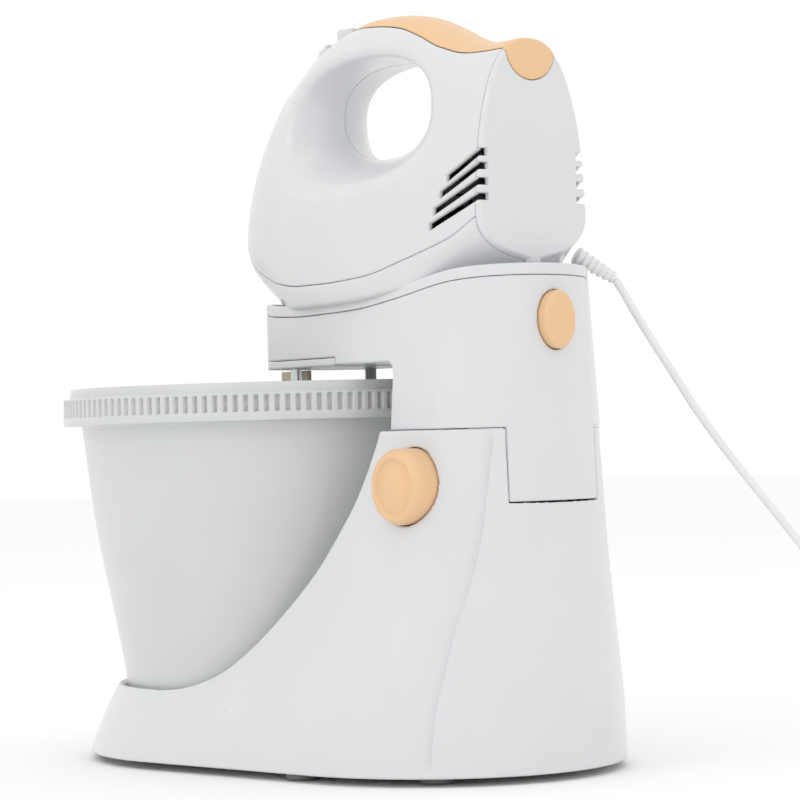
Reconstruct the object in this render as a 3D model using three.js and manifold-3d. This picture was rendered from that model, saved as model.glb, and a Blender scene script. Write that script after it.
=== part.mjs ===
// Hand mixer on a stand: a tilting arm carries the mixer over a bowl that turns on the base.
// Millimetres. +X is the machine's left, -Y its front (the bowl end), +Z up.
// Every y below is measured back from the bowl's axis; the last group moves the origin to the
// middle of the machine's footprint.
import * as THREE from "three";
import { mergeVertices } from "three/addons/utils/BufferGeometryUtils.js";
import Module from "manifold-3d";

const wasm = await Module();
wasm.setup();

// ---------------------------------------------------------------- driving dimensions
const gap = 0.35; // clearance between touching pieces
const wall = 2.5; // moulded wall
const ringRadius = 101; // bowl rim flange
const baseBack = 187; // bowl axis to the back of the base
const footHeight = 3;
const baseTop = 144; // parting line between base and arm, at the sides
const skirtBottom = 114; // lower edge of the arm's rear skirt
const skirtHalf = 24; // half-width of the skirt
const armTop = 212; // arm lip at the back
const armFront = 19; // front end of the arm
const armUnder = 173; // underside of the arm's beam
const armFrontHalf = 28;
const lipHeight = 4.8;
const trayFloor = 27;
const bowlFoot = 73; // radius of the bowl's foot
const bowlBottom = 31.4;
const rimTop = 167;
const mixerBack = 170; // rear face of the mixer
const mixerTop = 324;
const noseTip = -5;
const hingeY = 177;
const hingeZ = 119;
const spindleX = 21;
const spindleY = 36;
const motorZ = 231;
const selectorY = 50;
const ejectY = 36.8;
const tiltButton = { y: 143, z: 121, radius: 15.8 };
const releaseButton = { z: 188, halfWidth: 8.5, halfHeight: 12 };

// ---------------------------------------------------------------- materials
const material = (color, roughness, metalness = 0) =>
  new THREE.MeshStandardMaterial({ color, roughness, metalness });
const whitePlastic = material(0xe9eaec, 0.25);
const bowlPlastic = material(0xcdd1d0, 0.3);
const peachPlastic = material(0xf0cb9c, 0.35);
const greyPlastic = material(0x8d9093, 0.5);
const darkPlastic = material(0x2b2c2e, 0.6);
const naturalPlastic = material(0xb5ad8c, 0.4);
const rubber = material(0x6c6e70, 0.8);
const steel = material(0xb9bcc0, 0.3, 1);
const copper = material(0xb06a3c, 0.4, 1);
const iron = material(0x55585c, 0.5, 1);
const cordPlastic = material(0xe4e5e6, 0.5);

// ---------------------------------------------------------------- geometry helpers
function toSolid(geometry) {
  const bare = geometry.index ? geometry.toNonIndexed() : geometry.clone();
  bare.deleteAttribute("normal");
  bare.deleteAttribute("uv");
  const merged = mergeVertices(bare, 1e-4);
  const positions = merged.attributes.position.array;
  let triangles = Uint32Array.from(merged.index.array);
  const corner = (i) => new THREE.Vector3().fromArray(positions, 3 * i);
  let volume = 0;
  for (let i = 0; i < triangles.length; i += 3) {
    volume += corner(triangles[i]).dot(corner(triangles[i + 1]).cross(corner(triangles[i + 2])));
  }
  if (volume < 0) {
    triangles = triangles.reverse();
  }
  const mesh = new wasm.Mesh({
    numProp: 3,
    vertProperties: Float32Array.from(positions),
    triVerts: triangles,
  });
  return new wasm.Manifold(mesh);
}

function toGeometry(solid) {
  const mesh = solid.getMesh();
  const geometry = new THREE.BufferGeometry();
  geometry.setAttribute("position", new THREE.BufferAttribute(mesh.vertProperties, 3));
  geometry.setIndex(new THREE.BufferAttribute(mesh.triVerts, 1));
  geometry.computeVertexNormals();
  return geometry;
}

// A closed skin through rings of points with equal counts; both ends are flat fans.
function loft(rings) {
  const count = rings[0].length;
  const positions = [];
  const triangles = [];
  for (const ring of rings) {
    for (const point of ring) {
      positions.push(...point);
    }
  }
  for (let k = 0; k + 1 < rings.length; k++) {
    for (let i = 0; i < count; i++) {
      const a = k * count + i;
      const b = k * count + ((i + 1) % count);
      triangles.push(a, b, b + count, a, b + count, a + count);
    }
  }
  const last = (rings.length - 1) * count;
  for (const [start, flip] of [[0, true], [last, false]]) {
    const middle = new THREE.Vector3();
    const ring = rings[start / count];
    for (const point of ring) {
      middle.add(new THREE.Vector3(...point).divideScalar(count));
    }
    positions.push(middle.x, middle.y, middle.z);
    const centre = positions.length / 3 - 1;
    for (let i = 0; i < count; i++) {
      const j = (i + 1) % count;
      triangles.push(centre, start + (flip ? j : i), start + (flip ? i : j));
    }
  }
  const geometry = new THREE.BufferGeometry();
  geometry.setAttribute("position", new THREE.Float32BufferAttribute(positions, 3));
  geometry.setIndex(triangles);
  return toSolid(geometry);
}

function box(x0, x1, y0, y1, z0, z1) {
  const geometry = new THREE.BoxGeometry(x1 - x0, y1 - y0, z1 - z0);
  geometry.translate((x0 + x1) / 2, (y0 + y1) / 2, (z0 + z1) / 2);
  return toSolid(geometry);
}

// A rod or cone between two points.
function rod(from, to, radius, endRadius = radius, sides = 24) {
  const start = new THREE.Vector3(...from);
  const along = new THREE.Vector3(...to).sub(start);
  const geometry = new THREE.CylinderGeometry(endRadius, radius, along.length(), sides);
  geometry.translate(0, along.length() / 2, 0);
  const turn = new THREE.Quaternion().setFromUnitVectors(
    new THREE.Vector3(0, 1, 0),
    along.clone().normalize(),
  );
  geometry.applyQuaternion(turn);
  geometry.translate(start.x, start.y, start.z);
  return toSolid(geometry);
}

// A solid of revolution about a vertical axis; points are [radius, z].
function turned(points, x = 0, y = 0, sides = 48) {
  const geometry = new THREE.LatheGeometry(points.map((p) => new THREE.Vector2(...p)), sides);
  geometry.rotateX(Math.PI / 2);
  geometry.translate(x, y, 0);
  return toSolid(geometry);
}

// A flat outline of [x, y] points raised from z0 to z1.
function plate(points, z0, z1) {
  const shape = new THREE.Shape(points.map((p) => new THREE.Vector2(...p)));
  const geometry = new THREE.ExtrudeGeometry(shape, { depth: z1 - z0, bevelEnabled: false });
  geometry.translate(0, 0, z0);
  return toSolid(geometry);
}

// A side-view outline of [y, z] points carried across the machine from x0 to x1.
function slab(points, x0, x1) {
  const shape = new THREE.Shape(points.map((p) => new THREE.Vector2(...p)));
  const geometry = new THREE.ExtrudeGeometry(shape, { depth: x1 - x0, bevelEnabled: false });
  geometry.translate(0, 0, x0);
  const turn = new THREE.Matrix4().makeBasis(
    new THREE.Vector3(0, 1, 0),
    new THREE.Vector3(0, 0, 1),
    new THREE.Vector3(1, 0, 0),
  );
  geometry.applyMatrix4(turn);
  return toSolid(geometry);
}

// A round bar bent along a curve.
function bentBar(curve, section, steps) {
  const shape = new THREE.Shape(section.map((p) => new THREE.Vector2(...p)));
  return toSolid(
    new THREE.ExtrudeGeometry(shape, { steps, extrudePath: curve, bevelEnabled: false }),
  );
}

const smooth = (points, steps) =>
  new THREE.SplineCurve(points.map((p) => new THREE.Vector2(...p)))
    .getPoints(steps)
    .map((p) => [p.x, p.y]);

const circle = (radius, sides) =>
  Array.from({ length: sides }, (_, i) => {
    const turn = (2 * Math.PI * i) / sides;
    return [radius * Math.cos(turn), radius * Math.sin(turn)];
  });

// Height of a smooth profile at y, from its [y, z] points.
function heightAt(points, y) {
  for (let i = 0; i + 1 < points.length; i++) {
    const [y0, z0] = points[i];
    const [y1, z1] = points[i + 1];
    if (y <= y1) {
      return z0 + ((z1 - z0) * Math.max(0, y - y0)) / (y1 - y0);
    }
  }
  return points[points.length - 1][1];
}

const group = new THREE.Group();

function add(name, solid, finish) {
  const mesh = new THREE.Mesh(toGeometry(solid), finish);
  mesh.name = name;
  group.add(mesh);
}

// ---------------------------------------------------------------- plan outlines
// Round front, straight sides that draw in, elliptical back.
function eggOutline({ front, half, bow, back }, frontSteps = 9, rearSteps = 7) {
  const centre = back - bow;
  const taper = Math.atan2(front - half, centre);
  const side = [];
  for (let i = 0; i <= frontSteps; i++) {
    const turn = -Math.PI / 2 + ((Math.PI / 2 + taper) * i) / frontSteps;
    side.push([front * Math.cos(turn), front * Math.sin(turn)]);
  }
  for (let i = 0; i <= rearSteps; i++) {
    const turn = taper + ((Math.PI / 2 - taper) * i) / rearSteps;
    side.push([half * Math.cos(turn), centre + bow * Math.sin(turn)]);
  }
  const mirrored = side.slice(1, -1).reverse().map(([x, y]) => [-x, y]);
  return [...side, ...mirrored];
}

// The base's outline at height z, drawn in by inset.
function baseOutline(z, inset = 0) {
  const drop = Math.min(1, Math.max(0, (baseTop - z) / (baseTop - footHeight)));
  const half = 42 + 37 * drop ** 1.2;
  const trayFront = 88.3 - 0.42 * (z - footHeight);
  return eggOutline({
    front: (z < 31 ? trayFront : half + 5) - inset,
    half: half - inset,
    bow: 29 + 59 * drop ** 1.6 - inset,
    back: 184.5 + (baseBack - 184.5) * drop - inset,
  });
}

// The arm's outline at height z, drawn in by inset.
function armOutline(z, inset = 0, rearSteps = 8) {
  const rise = (z - baseTop) / (armTop - baseTop);
  const half = 42 - 6 * rise - inset;
  const bow = 29 - 3 * rise - inset;
  const back = 184.5 - 1.5 * rise - inset;
  const corner = 8;
  const frontHalf = armFrontHalf - inset;
  const frontEdge = armFront + inset;
  const side = [[0, frontEdge]];
  for (let i = 0; i <= 4; i++) {
    const turn = -Math.PI / 2 + (Math.PI / 2) * (i / 4);
    side.push([
      frontHalf - corner + corner * Math.cos(turn),
      frontEdge + corner + corner * Math.sin(turn),
    ]);
  }
  for (let i = 0; i <= rearSteps; i++) {
    const turn = ((Math.PI / 2) * i) / rearSteps;
    side.push([half * Math.cos(turn), back - bow + bow * Math.sin(turn)]);
  }
  const mirrored = side.slice(1, -1).reverse().map(([x, y]) => [-x, y]);
  return [...side, ...mirrored];
}

const level = (outline, z) => outline.map(([x, y]) => [x, y, z]);

// ---------------------------------------------------------------- base
// The hollow swept around the bowl: its radius grows from the tray up to the column's top.
function scoop(grow, top) {
  const sweep = smooth(
    [[76, 31], [84, 44], [99, 62.5], [114, 82], [123, 107], [127.5, baseTop]],
    10,
  );
  const wallLine = sweep.map(([r, z]) => [r + grow, z]);
  return turned(
    [[0, trayFloor - grow], [76 + grow, trayFloor - grow], ...wallLine, [127.5 + grow, top], [0, top]],
    0,
    0,
    44,
  );
}

function hingeEar(x0, x1) {
  const foot = box(x0, x1, hingeY - 8, 183.4, 98, hingeZ - 10.2);
  const post = box(x0, x1, hingeY - 8, hingeY - 1.5, 98, hingeZ);
  const eye = rod([x0, hingeY, hingeZ], [x1, hingeY, hingeZ], 4);
  return foot.add(post).add(eye);
}

const hingeHole = rod([-20, hingeY, hingeZ], [20, hingeY, hingeZ], 2.35);

function makeBase() {
  const levels = [footHeight, 14, 30.9, 31, 46, 66, 90, 116, baseTop];
  const outer = loft(levels.map((z) => level(baseOutline(z), z)));
  const innerLevels = [footHeight - 1, ...levels.slice(1, -1), baseTop - wall];
  const inner = loft(innerLevels.map((z) => level(baseOutline(z, wall), z)));
  const cavity = inner.subtract(scoop(wall, baseTop + 1));
  const notch = box(-skirtHalf - gap, skirtHalf + gap, 166, 200, skirtBottom - 1.3, baseTop + 5);
  const buttonHole = rod(
    [20, tiltButton.y, tiltButton.z],
    [70, tiltButton.y, tiltButton.z],
    tiltButton.radius + gap,
    tiltButton.radius + gap,
    32,
  );
  const latchSlot = box(12.5, 24, tiltButton.y - 7, tiltButton.y + 7, baseTop - 6, baseTop + 2);
  const axleHole = rod([0, 0, 20], [0, 0, 30], 4 + gap);
  const swingHalf = skirtHalf + gap;
  const skirtSwing = rod([-swingHalf, hingeY, hingeZ], [swingHalf, hingeY, hingeZ], 9.7, 9.7, 40);
  const shell = outer
    .subtract(scoop(0, baseTop + 5))
    .subtract(cavity)
    .subtract(notch)
    .subtract(buttonHole)
    .subtract(latchSlot)
    .subtract(axleHole)
    .subtract(skirtSwing)
    .add(hingeEar(9, 12))
    .add(hingeEar(-12, -9))
    .subtract(hingeHole);
  add("base_shell", shell, whitePlastic);

  const bottom = loft([footHeight + gap, 6.5].map((z) => level(baseOutline(z, wall + 0.6), z)));
  add("base_bottom_plate", bottom, whitePlastic);

  const feet = [[46, -62], [-46, -62], [69, 96], [-69, 96], [43, 152], [-43, 152]];
  feet.forEach(([x, y], i) => {
    add(`foot_${i + 1}`, turned([[0, 0], [6, 0], [7, 1], [7, 3], [0, 3]], x, y, 14), rubber);
  });
  const screws = [[30, -40], [-30, -40], [40, 110], [-40, 110]];
  screws.forEach(([x, y], i) => {
    const screw = turned([[0, 7], [3, 7], [3, 8.6], [1.6, 9.4], [1.6, 20], [0, 20]], x, y, 12);
    add(`plate_screw_${i + 1}`, screw, steel);
  });
  add("turntable_axle", rod([0, 0, 10], [0, 0, 29], 4, 4, 20), steel);
  add("hinge_pin", rod([-13, hingeY, hingeZ], [13, hingeY, hingeZ], 2, 2, 16), steel);
}

// ---------------------------------------------------------------- turntable and bowl
function makeBowl() {
  const disc = turned([
    [4.4, 27.4],
    [75.3, 27.4],
    [75.3, 29],
    [74.4, 31],
    [4.4, 31],
    [4.4, 27.4],
  ]);
  add("turntable", disc, whitePlastic);
  const outside = smooth(
    [[bowlFoot + 0.4, 42], [74.8, 52], [79, 70], [84, 94], [88.2, 120], [91.7, 149.6]],
    6,
  );
  const inside = outside.map(([r, z]) => [r - 2.2, z + 0.4]).reverse();
  const bowl = turned(
    [
      [0, 38],
      [bowlFoot - 3, 38],
      [bowlFoot - 3, bowlBottom],
      [bowlFoot, bowlBottom],
      ...outside,
      [ringRadius, 150.5],
      [ringRadius, 152.6],
      [99.6, 153],
      [99.6, 161.6],
      [99.2, 162],
      [98.4, rimTop],
      [95.6, rimTop],
      [95.2, 153.4],
      ...inside,
      [64, 40.4],
      [0, 40.4],
    ],
    0,
    0,
    44,
  );
  add("bowl", bowl, bowlPlastic);
}

// ---------------------------------------------------------------- tilt release
function makeTiltRelease() {
  const { y, z, radius } = tiltButton;
  const face = 55.5;
  const cup = turned([
    [0, 30],
    [radius - 5, 30],
    [radius - 5, 36],
    [radius, 36],
    [radius, face - 4],
    [radius - 1.2, face - 1.6],
    [radius - 4, face],
    [radius - 5.5, face - 0.4],
    [6, face - 1.6],
    [0, face - 1.9],
  ], 0, 0, 32);
  const geometry = toGeometry(cup);
  geometry.rotateY(Math.PI / 2);
  geometry.translate(0, y, z);
  add("tilt_button", toSolid(geometry), peachPlastic);
  const bar = box(12, 29.6, y - 5, y + 5, z - 4, z + 4);
  const hook = box(18, 23, y - 5, y + 5, z, baseTop + 4);
  add("tilt_latch", bar.add(hook), darkPlastic);
  const spring = new THREE.CatmullRomCurve3(
    Array.from({ length: 33 }, (_, i) => {
      const turn = (2 * Math.PI * i) / 8;
      return new THREE.Vector3(2 + (9.4 * i) / 32, y + 4 * Math.cos(turn), z + 4 * Math.sin(turn));
    }),
  );
  add("tilt_spring", bentBar(spring, circle(0.5, 5), 40), steel);
}

// ---------------------------------------------------------------- arm
const lipLine = smooth(
  [[10, 202.6], [40, 200.2], [72, 199.6], [106, 202], [146, 207.4], [172, 211], [192, armTop]],
  16,
);

// Everything above the lip's profile, lowered by drop.
const aboveLip = (drop) =>
  slab([...lipLine.map(([y, z]) => [y, z - drop]), [192, 260], [10, 260]], -60, 60);

function makeArm() {
  const levels = [baseTop + gap, 158, armUnder, 190, 214];
  const outerBody = loft(levels.map((z) => level(armOutline(z), z)));
  const innerBody = loft(
    [baseTop - 4, 158, armUnder, 190, 214].map((z) => level(armOutline(z, wall), z)),
  );
  const throat = turned(
    [
      [0, 140],
      [127.5, 140],
      [127.5, 165],
      [126.4, 169],
      [123.5, 172],
      [119, armUnder],
      [0, armUnder],
    ],
    0,
    0,
    44,
  );
  const throatSkin = turned(
    [[0, 130], [130, 130], [130, 167], [128, 172], [123.5, 175.6], [0, 175.6]],
    0,
    0,
    44,
  );
  const skirtLevels = [skirtBottom, 124, 134, baseTop + 2];
  const chamfer = slab(
    [
      [hingeY + 6.2, skirtBottom - 1],
      [hingeY + 8.3, skirtBottom - 1],
      [hingeY + 12, 118],
      [hingeY + 7.9, 117.4],
    ],
    -40,
    40,
  );
  const skirtOuter = loft(skirtLevels.map((z) => level(baseOutline(z), z)))
    .intersect(box(-skirtHalf, skirtHalf, 168, 200, 100, 160));
  const skirtInner = loft([skirtBottom - 3, 124, 134, baseTop + 6].map((z) => level(baseOutline(z, wall), z)))
    .intersect(box(-skirtHalf + wall, skirtHalf - wall, 150, 200, 100, 160));
  const cavity = innerBody.subtract(throatSkin).add(skirtInner);
  const knuckle = rod([-8.5, hingeY, hingeZ], [8.5, hingeY, hingeZ], 4)
    .add(box(-8.5, 8.5, hingeY, 183.6, hingeZ - 3, hingeZ + 4));
  const platePocket = box(-60, 60, 0, 78.35, 160, armUnder + 3.6);
  const { z, halfWidth, halfHeight } = releaseButton;
  const buttonHole = ovalRod(halfWidth + gap, halfHeight + gap, z, 150, 200);
  const shaftHole = rod([pinion.x, pinion.y, 165], [pinion.x, pinion.y, 178], 3 + gap, 3 + gap, 16);
  const shell = outerBody
    .subtract(throat)
    .add(skirtOuter)
    .subtract(cavity)
    .subtract(aboveLip(lipHeight + gap))
    .subtract(platePocket)
    .add(knuckle)
    .subtract(chamfer)
    .subtract(hingeHole)
    .subtract(buttonHole)
    .subtract(shaftHole);
  add("arm_shell", shell, whitePlastic);

  const coverBody = loft([190, 214].map((h) => level(armOutline(h), h)))
    .subtract(aboveLip(0))
    .intersect(aboveLip(lipHeight));
  const recess = loft([190, 214].map((h) => level(armOutline(h, 3.5), h))).intersect(aboveLip(2.3));
  const beaterHoles = [-1, 1].map((side) =>
    rod([side * spindleX, spindleY, 180], [side * spindleX, spindleY, 220], 8, 8, 20),
  );
  const latchHole = box(-8, 8, 150, 163, 180, 220);
  const cover = beaterHoles.reduce((body, hole) => body.subtract(hole), coverBody.subtract(recess));
  add("arm_top_cover", cover.subtract(latchHole), whitePlastic);

  const plateBody = loft([armUnder, armUnder + 3.2].map((h) => level(armOutline(armUnder), h)))
    .intersect(box(-60, 60, 0, 78, 160, 190))
    .add(box(-18, 18, armFront - 2, armFront + 8, armUnder, armUnder + 2));
  const bottomPlate = [-1, 1].reduce(
    (body, side) =>
      body.subtract(rod([side * spindleX, spindleY, 160], [side * spindleX, spindleY, 190], 6, 6, 20)),
    plateBody,
  );
  add("arm_bottom_plate", bottomPlate, whitePlastic);
  [[0, 28], [-20, 66]].forEach(([x, y], i) => {
    const screw = turned([[0, 177], [3, 177], [3, 178.4], [1.5, 179], [1.5, 190], [0, 190]], x, y, 12);
    add(`arm_screw_${i + 1}`, screw, steel);
  });
  const peg = rod([-12, 48, armUnder - 6], [-12, 48, armUnder - gap], 2.4, 2.4, 12);
  add("arm_rest_peg", peg, greyPlastic);

  const blade = [[5, 132], [24, 120], [26, 172.6], [8, 172.6]];
  add("bowl_scraper", slab(blade, 4, 6.2), naturalPlastic);
}

// An upright oval bar along Y.
function ovalRod(halfWidth, halfHeight, z, y0, y1) {
  const geometry = new THREE.CylinderGeometry(1, 1, y1 - y0, 28);
  geometry.scale(halfWidth, 1, halfHeight);
  geometry.translate(0, (y0 + y1) / 2, z);
  return toSolid(geometry);
}

function makeMixerRelease() {
  const { z, halfWidth, halfHeight } = releaseButton;
  const button = ovalRod(halfWidth, halfHeight, z, 176, 186)
    .add(ovalRod(halfWidth - 1.4, halfHeight - 1.4, z, 176, 186.8));
  add("mixer_release_button", button, peachPlastic);
  const arm = box(-5, 5, 155, 175.6, z - 3, z + 3);
  const tooth = box(-5, 5, 155, 160, z, 205);
  add("mixer_release_catch", arm.add(tooth), darkPlastic);
  const spring = new THREE.CatmullRomCurve3(
    Array.from({ length: 33 }, (_, i) => {
      const turn = (2 * Math.PI * i) / 8;
      return new THREE.Vector3(3.4 * Math.cos(turn), 140 + (14 * i) / 32, z + 3.4 * Math.sin(turn));
    }),
  );
  add("mixer_release_spring", bentBar(spring, circle(0.45, 5), 40), steel);
}

// ---------------------------------------------------------------- bowl drive in the arm
function toothed(radius, teeth, depth) {
  const points = [];
  for (let i = 0; i < teeth; i++) {
    [[0, 0], [0.22, 0], [0.42, 1], [0.8, 1]].forEach(([shift, out]) => {
      const turn = (2 * Math.PI * (i + shift)) / teeth;
      const r = radius - depth + depth * out;
      points.push([r * Math.cos(turn), r * Math.sin(turn)]);
    });
  }
  return points;
}

// The train runs from the left beater to the pinion that turns the bowl's rim.
const pinion = { x: 0, y: ringRadius + 11.6, radius: 10, teeth: 15 };
const driveGear = { radius: 5, teeth: 10 };
const smallIdler = { radius: 9, teeth: 18, turn: 0.7 };
const topGear = { radius: 13, teeth: 26 };
const smallReach = driveGear.radius + smallIdler.radius + gap;
const smallX = spindleX - smallReach * Math.sin(smallIdler.turn);
const smallY = spindleY + smallReach * Math.cos(smallIdler.turn);
const span = Math.hypot(pinion.x - smallX, pinion.y - smallY);
const largeIdler = { radius: (span - smallIdler.radius - topGear.radius - 2 * gap) / 2, teeth: 44 };
const largeShare = (smallIdler.radius + gap + largeIdler.radius) / span;
const largeX = smallX + (pinion.x - smallX) * largeShare;
const largeY = smallY + (pinion.y - smallY) * largeShare;
const gearLow = 180;
const gearHigh = 185;

function gear(x, y, z0, z1, { radius, teeth }) {
  return plate(toothed(radius, teeth, 1.2).map(([px, py]) => [px + x, py + y]), z0, z1);
}

function makeBowlDrive() {
  const shaftHole = rod([spindleX, spindleY, 170], [spindleX, spindleY, 190], 2.7, 2.7, 16);
  const drive = gear(spindleX, spindleY, gearLow, gearHigh, driveGear).subtract(shaftHole);
  add("drive_gear", drive, naturalPlastic);
  add("idler_gear_small", gear(smallX, smallY, gearLow, gearHigh, smallIdler), naturalPlastic);
  add("idler_gear_large", gear(largeX, largeY, gearLow, gearHigh, largeIdler), naturalPlastic);
  const shaft = rod([pinion.x, pinion.y, 152], [pinion.x, pinion.y, 190], 3, 3, 16);
  const wheel = gear(pinion.x, pinion.y, gearLow, gearHigh, topGear)
    .add(gear(pinion.x, pinion.y, 153.5, 161.5, pinion))
    .add(shaft);
  add("bowl_pinion", wheel, naturalPlastic);
}

// ---------------------------------------------------------------- mixer body
// Side view of the body: the crown line over the nose and handle, and the seam to the motor housing.
const crownLine = smooth(
  [[noseTip, 236], [-3.5, 250], [3, 270], [14, 289], [28, 306], [45, 317], [72, mixerTop],
    [98, 323], [122, 316.5], [143, 307.5], [157, 304.5], [mixerBack, 304.5]],
  30,
);
const seamLine = smooth(
  [[noseTip, 230], [8, 219], [30, 210.5], [64, 207.6], [100, 209.5], [130, 215], [156, 223],
    [mixerBack, 231]],
  20,
);
const keelLine = smooth(
  [[noseTip, 228], [-2, 216], [5, 207.5], [13, 202], [24, 197], [mixerBack, 204]],
  20,
);

// Half-width of the body at a distance y from the bowl's axis.
function halfWidthAt(y) {
  const noseRadius = 32;
  const noseCentre = noseTip + noseRadius;
  const nose = y < noseCentre ? Math.sqrt(Math.max(0, noseRadius ** 2 - (noseCentre - y) ** 2)) : noseRadius;
  const swell = 6 * Math.sin((Math.PI * Math.min(1, Math.max(0, (y - 10) / 160))));
  return Math.max(1.5, nose + swell - (y > 120 ? (2 * (y - 120)) / 50 : 0));
}

// Cross-section of the body at y between a low and a high line, drawn in by inset.
function bodySection(y, low, high, inset, steps = 7) {
  const half = halfWidthAt(y) - inset;
  const z0 = low;
  const z1 = high - inset;
  const side = [];
  for (let i = 0; i <= steps; i++) {
    const share = Math.sin(((Math.PI / 2) * i) / steps);
    side.push([Math.max(0.4, half) * (1 - share ** 2) ** 0.4, y, z0 + (z1 - z0) * share]);
  }
  const mirrored = side.slice(0, -1).reverse().map(([x, yy, z]) => [-x, yy, z]);
  return [...side, ...mirrored];
}

const bodyStations = [noseTip + 0.3, -3, 2, 10, 22, 38, 58, 84, 104, 122, 140, 156, mixerBack];

function upperBody(inset, stations = bodyStations) {
  return loft(
    stations.map((y) => bodySection(y, heightAt(seamLine, y) - 12, heightAt(crownLine, y), inset)),
  );
}

const aboveSeam = (lift) =>
  slab(
    [...seamLine.map(([y, z]) => [y, z + lift]), [200, 240], [200, 340], [-20, 340],
      [-20, 232 + lift]],
    -60,
    60,
  );

// The finger opening through the handle, grown by an even amount.
const opening = { front: 47, back: 128, bottom: 261, top: 304, corner: 20 };

function fingerOpening(grow, x0, x1) {
  const y0 = opening.front - grow;
  const y1 = opening.back + grow;
  const z0 = opening.bottom - grow;
  const z1 = opening.top + grow;
  const r = opening.corner + grow;
  const points = [];
  [[y1 - r, z0 + r, -90], [y1 - r, z1 - r, 0], [y0 + r, z1 - r, 90], [y0 + r, z0 + r, 180]].forEach(
    ([cy, cz, from]) => {
      for (let i = 0; i <= 5; i++) {
        const turn = ((from + 18 * i) * Math.PI) / 180;
        points.push([cy + r * Math.cos(turn), cz + r * Math.sin(turn)]);
      }
    },
  );
  return slab(points, x0, x1);
}

const rearFaceY = mixerBack - 3;
const gripEdge = smooth(
  [[52, 316.5], [72, 318.5], [98, 318.5], [118, 311], [134, 304], [150, 300], [rearFaceY, 300]],
  14,
);
const gripBand = slab([...gripEdge, [rearFaceY, 340], [52, 340]], -60, 60);

// Four slots on each flank, open to the inside.
function ventSlots() {
  let cut = null;
  for (let i = 0; i < 4; i++) {
    const z = 226 + 7.3 * i;
    const y = 143 + 4.2 * i;
    for (const side of [-1, 1]) {
      const outline = [[y, z], [y + 24, z + 9.4], [y + 24, z + 12], [y, z + 2.6]];
      const slot = side > 0 ? slab(outline, 24, 45) : slab(outline, -45, -24);
      cut = cut ? cut.add(slot) : slot;
    }
  }
  return cut;
}

function makeMixerBody() {
  const front = bodyStations.slice(0, -1).concat(rearFaceY - gap);
  const outer = upperBody(0, front);
  const inner = upperBody(wall, front.slice(1));
  const tunnelSkin = fingerOpening(wall, -50, 50).intersect(upperBody(0.4, front));
  const hollow = inner.subtract(tunnelSkin);
  const slotFloor = opening.top + wall;
  const slotSide = 5 + gap;
  const keySlots = box(-slotSide, slotSide, selectorY - gap, selectorY + 18, slotFloor, 340)
    .add(box(-slotSide, slotSide, ejectY - gap, ejectY + 6.5 + gap, 300, 340));
  const shell = outer
    .subtract(hollow)
    .subtract(keySlots)
    .subtract(fingerOpening(0, -60, 60))
    .intersect(aboveSeam(gap / 2))
    .subtract(gripBand)
    .subtract(ventSlots());
  add("housing_left", largest(shell.intersect(box(gap / 2, 60, -30, 200, 180, 340))), whitePlastic);
  add("housing_right", largest(shell.intersect(box(-60, -gap / 2, -30, 200, 180, 340))), whitePlastic);

  const gripOuter = upperBody(0, front).intersect(gripBand);
  const grip = gripOuter.subtract(upperBody(3, front.slice(1))).subtract(keySlots);
  add("handle_grip", largest(grip.intersect(aboveSeam(80))), peachPlastic);

  const lowerOuter = loft(
    bodyStations.slice(1, -1).concat(rearFaceY - gap).map((y) =>
      keelSection(y, heightAt(keelLine, y), heightAt(seamLine, y) - gap, 0)),
  );
  const lowerInner = loft(
    [4, 12, 30, 60, 90, 120, 150, rearFaceY + 1].map((y) =>
      keelSection(y, heightAt(keelLine, y) + wall, heightAt(seamLine, y) + 4, wall)),
  );
  const spindleHoles = [-1, 1].reduce(
    (body, side) =>
      body.subtract(rod([side * spindleX, spindleY, 190], [side * spindleX, spindleY, 215], 5.5, 5.5, 20)),
    lowerOuter.subtract(lowerInner),
  );
  const recessFront = armFront + 12;
  const underLip = slab([...lipLine.map(([y, z]) => [y, z - 1.9]), [192, 150], [10, 150]], -60, 60);
  const aheadOfLip = slab([...lipLine.map(([y, z]) => [y, z + gap]), [192, 150], [10, 150]], -60, 60)
    .intersect(box(-60, 60, 0, recessFront, 100, 260));
  const housing = spindleHoles.subtract(underLip).subtract(aheadOfLip);
  add("motor_housing", largest(housing), whitePlastic);

  const rearOuter = loft([rearFaceY, mixerBack].map((y) => rearSection(y, 0)));
  const capCut = rearCapCut(0);
  add("rear_plate", rearOuter.subtract(capCut), whitePlastic);
  add("rear_cap", rearOuter.intersect(rearCapCut(-gap)), peachPlastic);
}

// The motor housing's section: flat keel, flanks that flare up to the seam.
function keelSection(y, z0, z1, inset, steps = 5) {
  const top = Math.max(1, halfWidthAt(y) - inset);
  const side = [];
  for (let i = 0; i <= steps; i++) {
    const share = i / steps;
    side.push([top * (0.55 + 0.45 * Math.sin((Math.PI / 2) * share)), y, z0 + (z1 - z0) * share]);
  }
  const mirrored = side.slice().reverse().map(([x, yy, z]) => [-x, yy, z]);
  return [...side, ...mirrored];
}

// The rear face: narrow shoulders, widest at the seam, drawn in to the heel.
function rearSection(y, inset) {
  const side = smooth(
    [[13, 212.6], [23, 220], [29.4, 231], [30, 243], [28, 259], [23.5, 276], [15.5, 298],
      [12.5, 302.5], [7, 305]],
    16,
  );
  const right = side.map(([x, z]) => [x - inset, y, z]);
  const left = side.slice().reverse().map(([x, z]) => [-x + inset, y, z]);
  return [...right, ...left];
}

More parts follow.
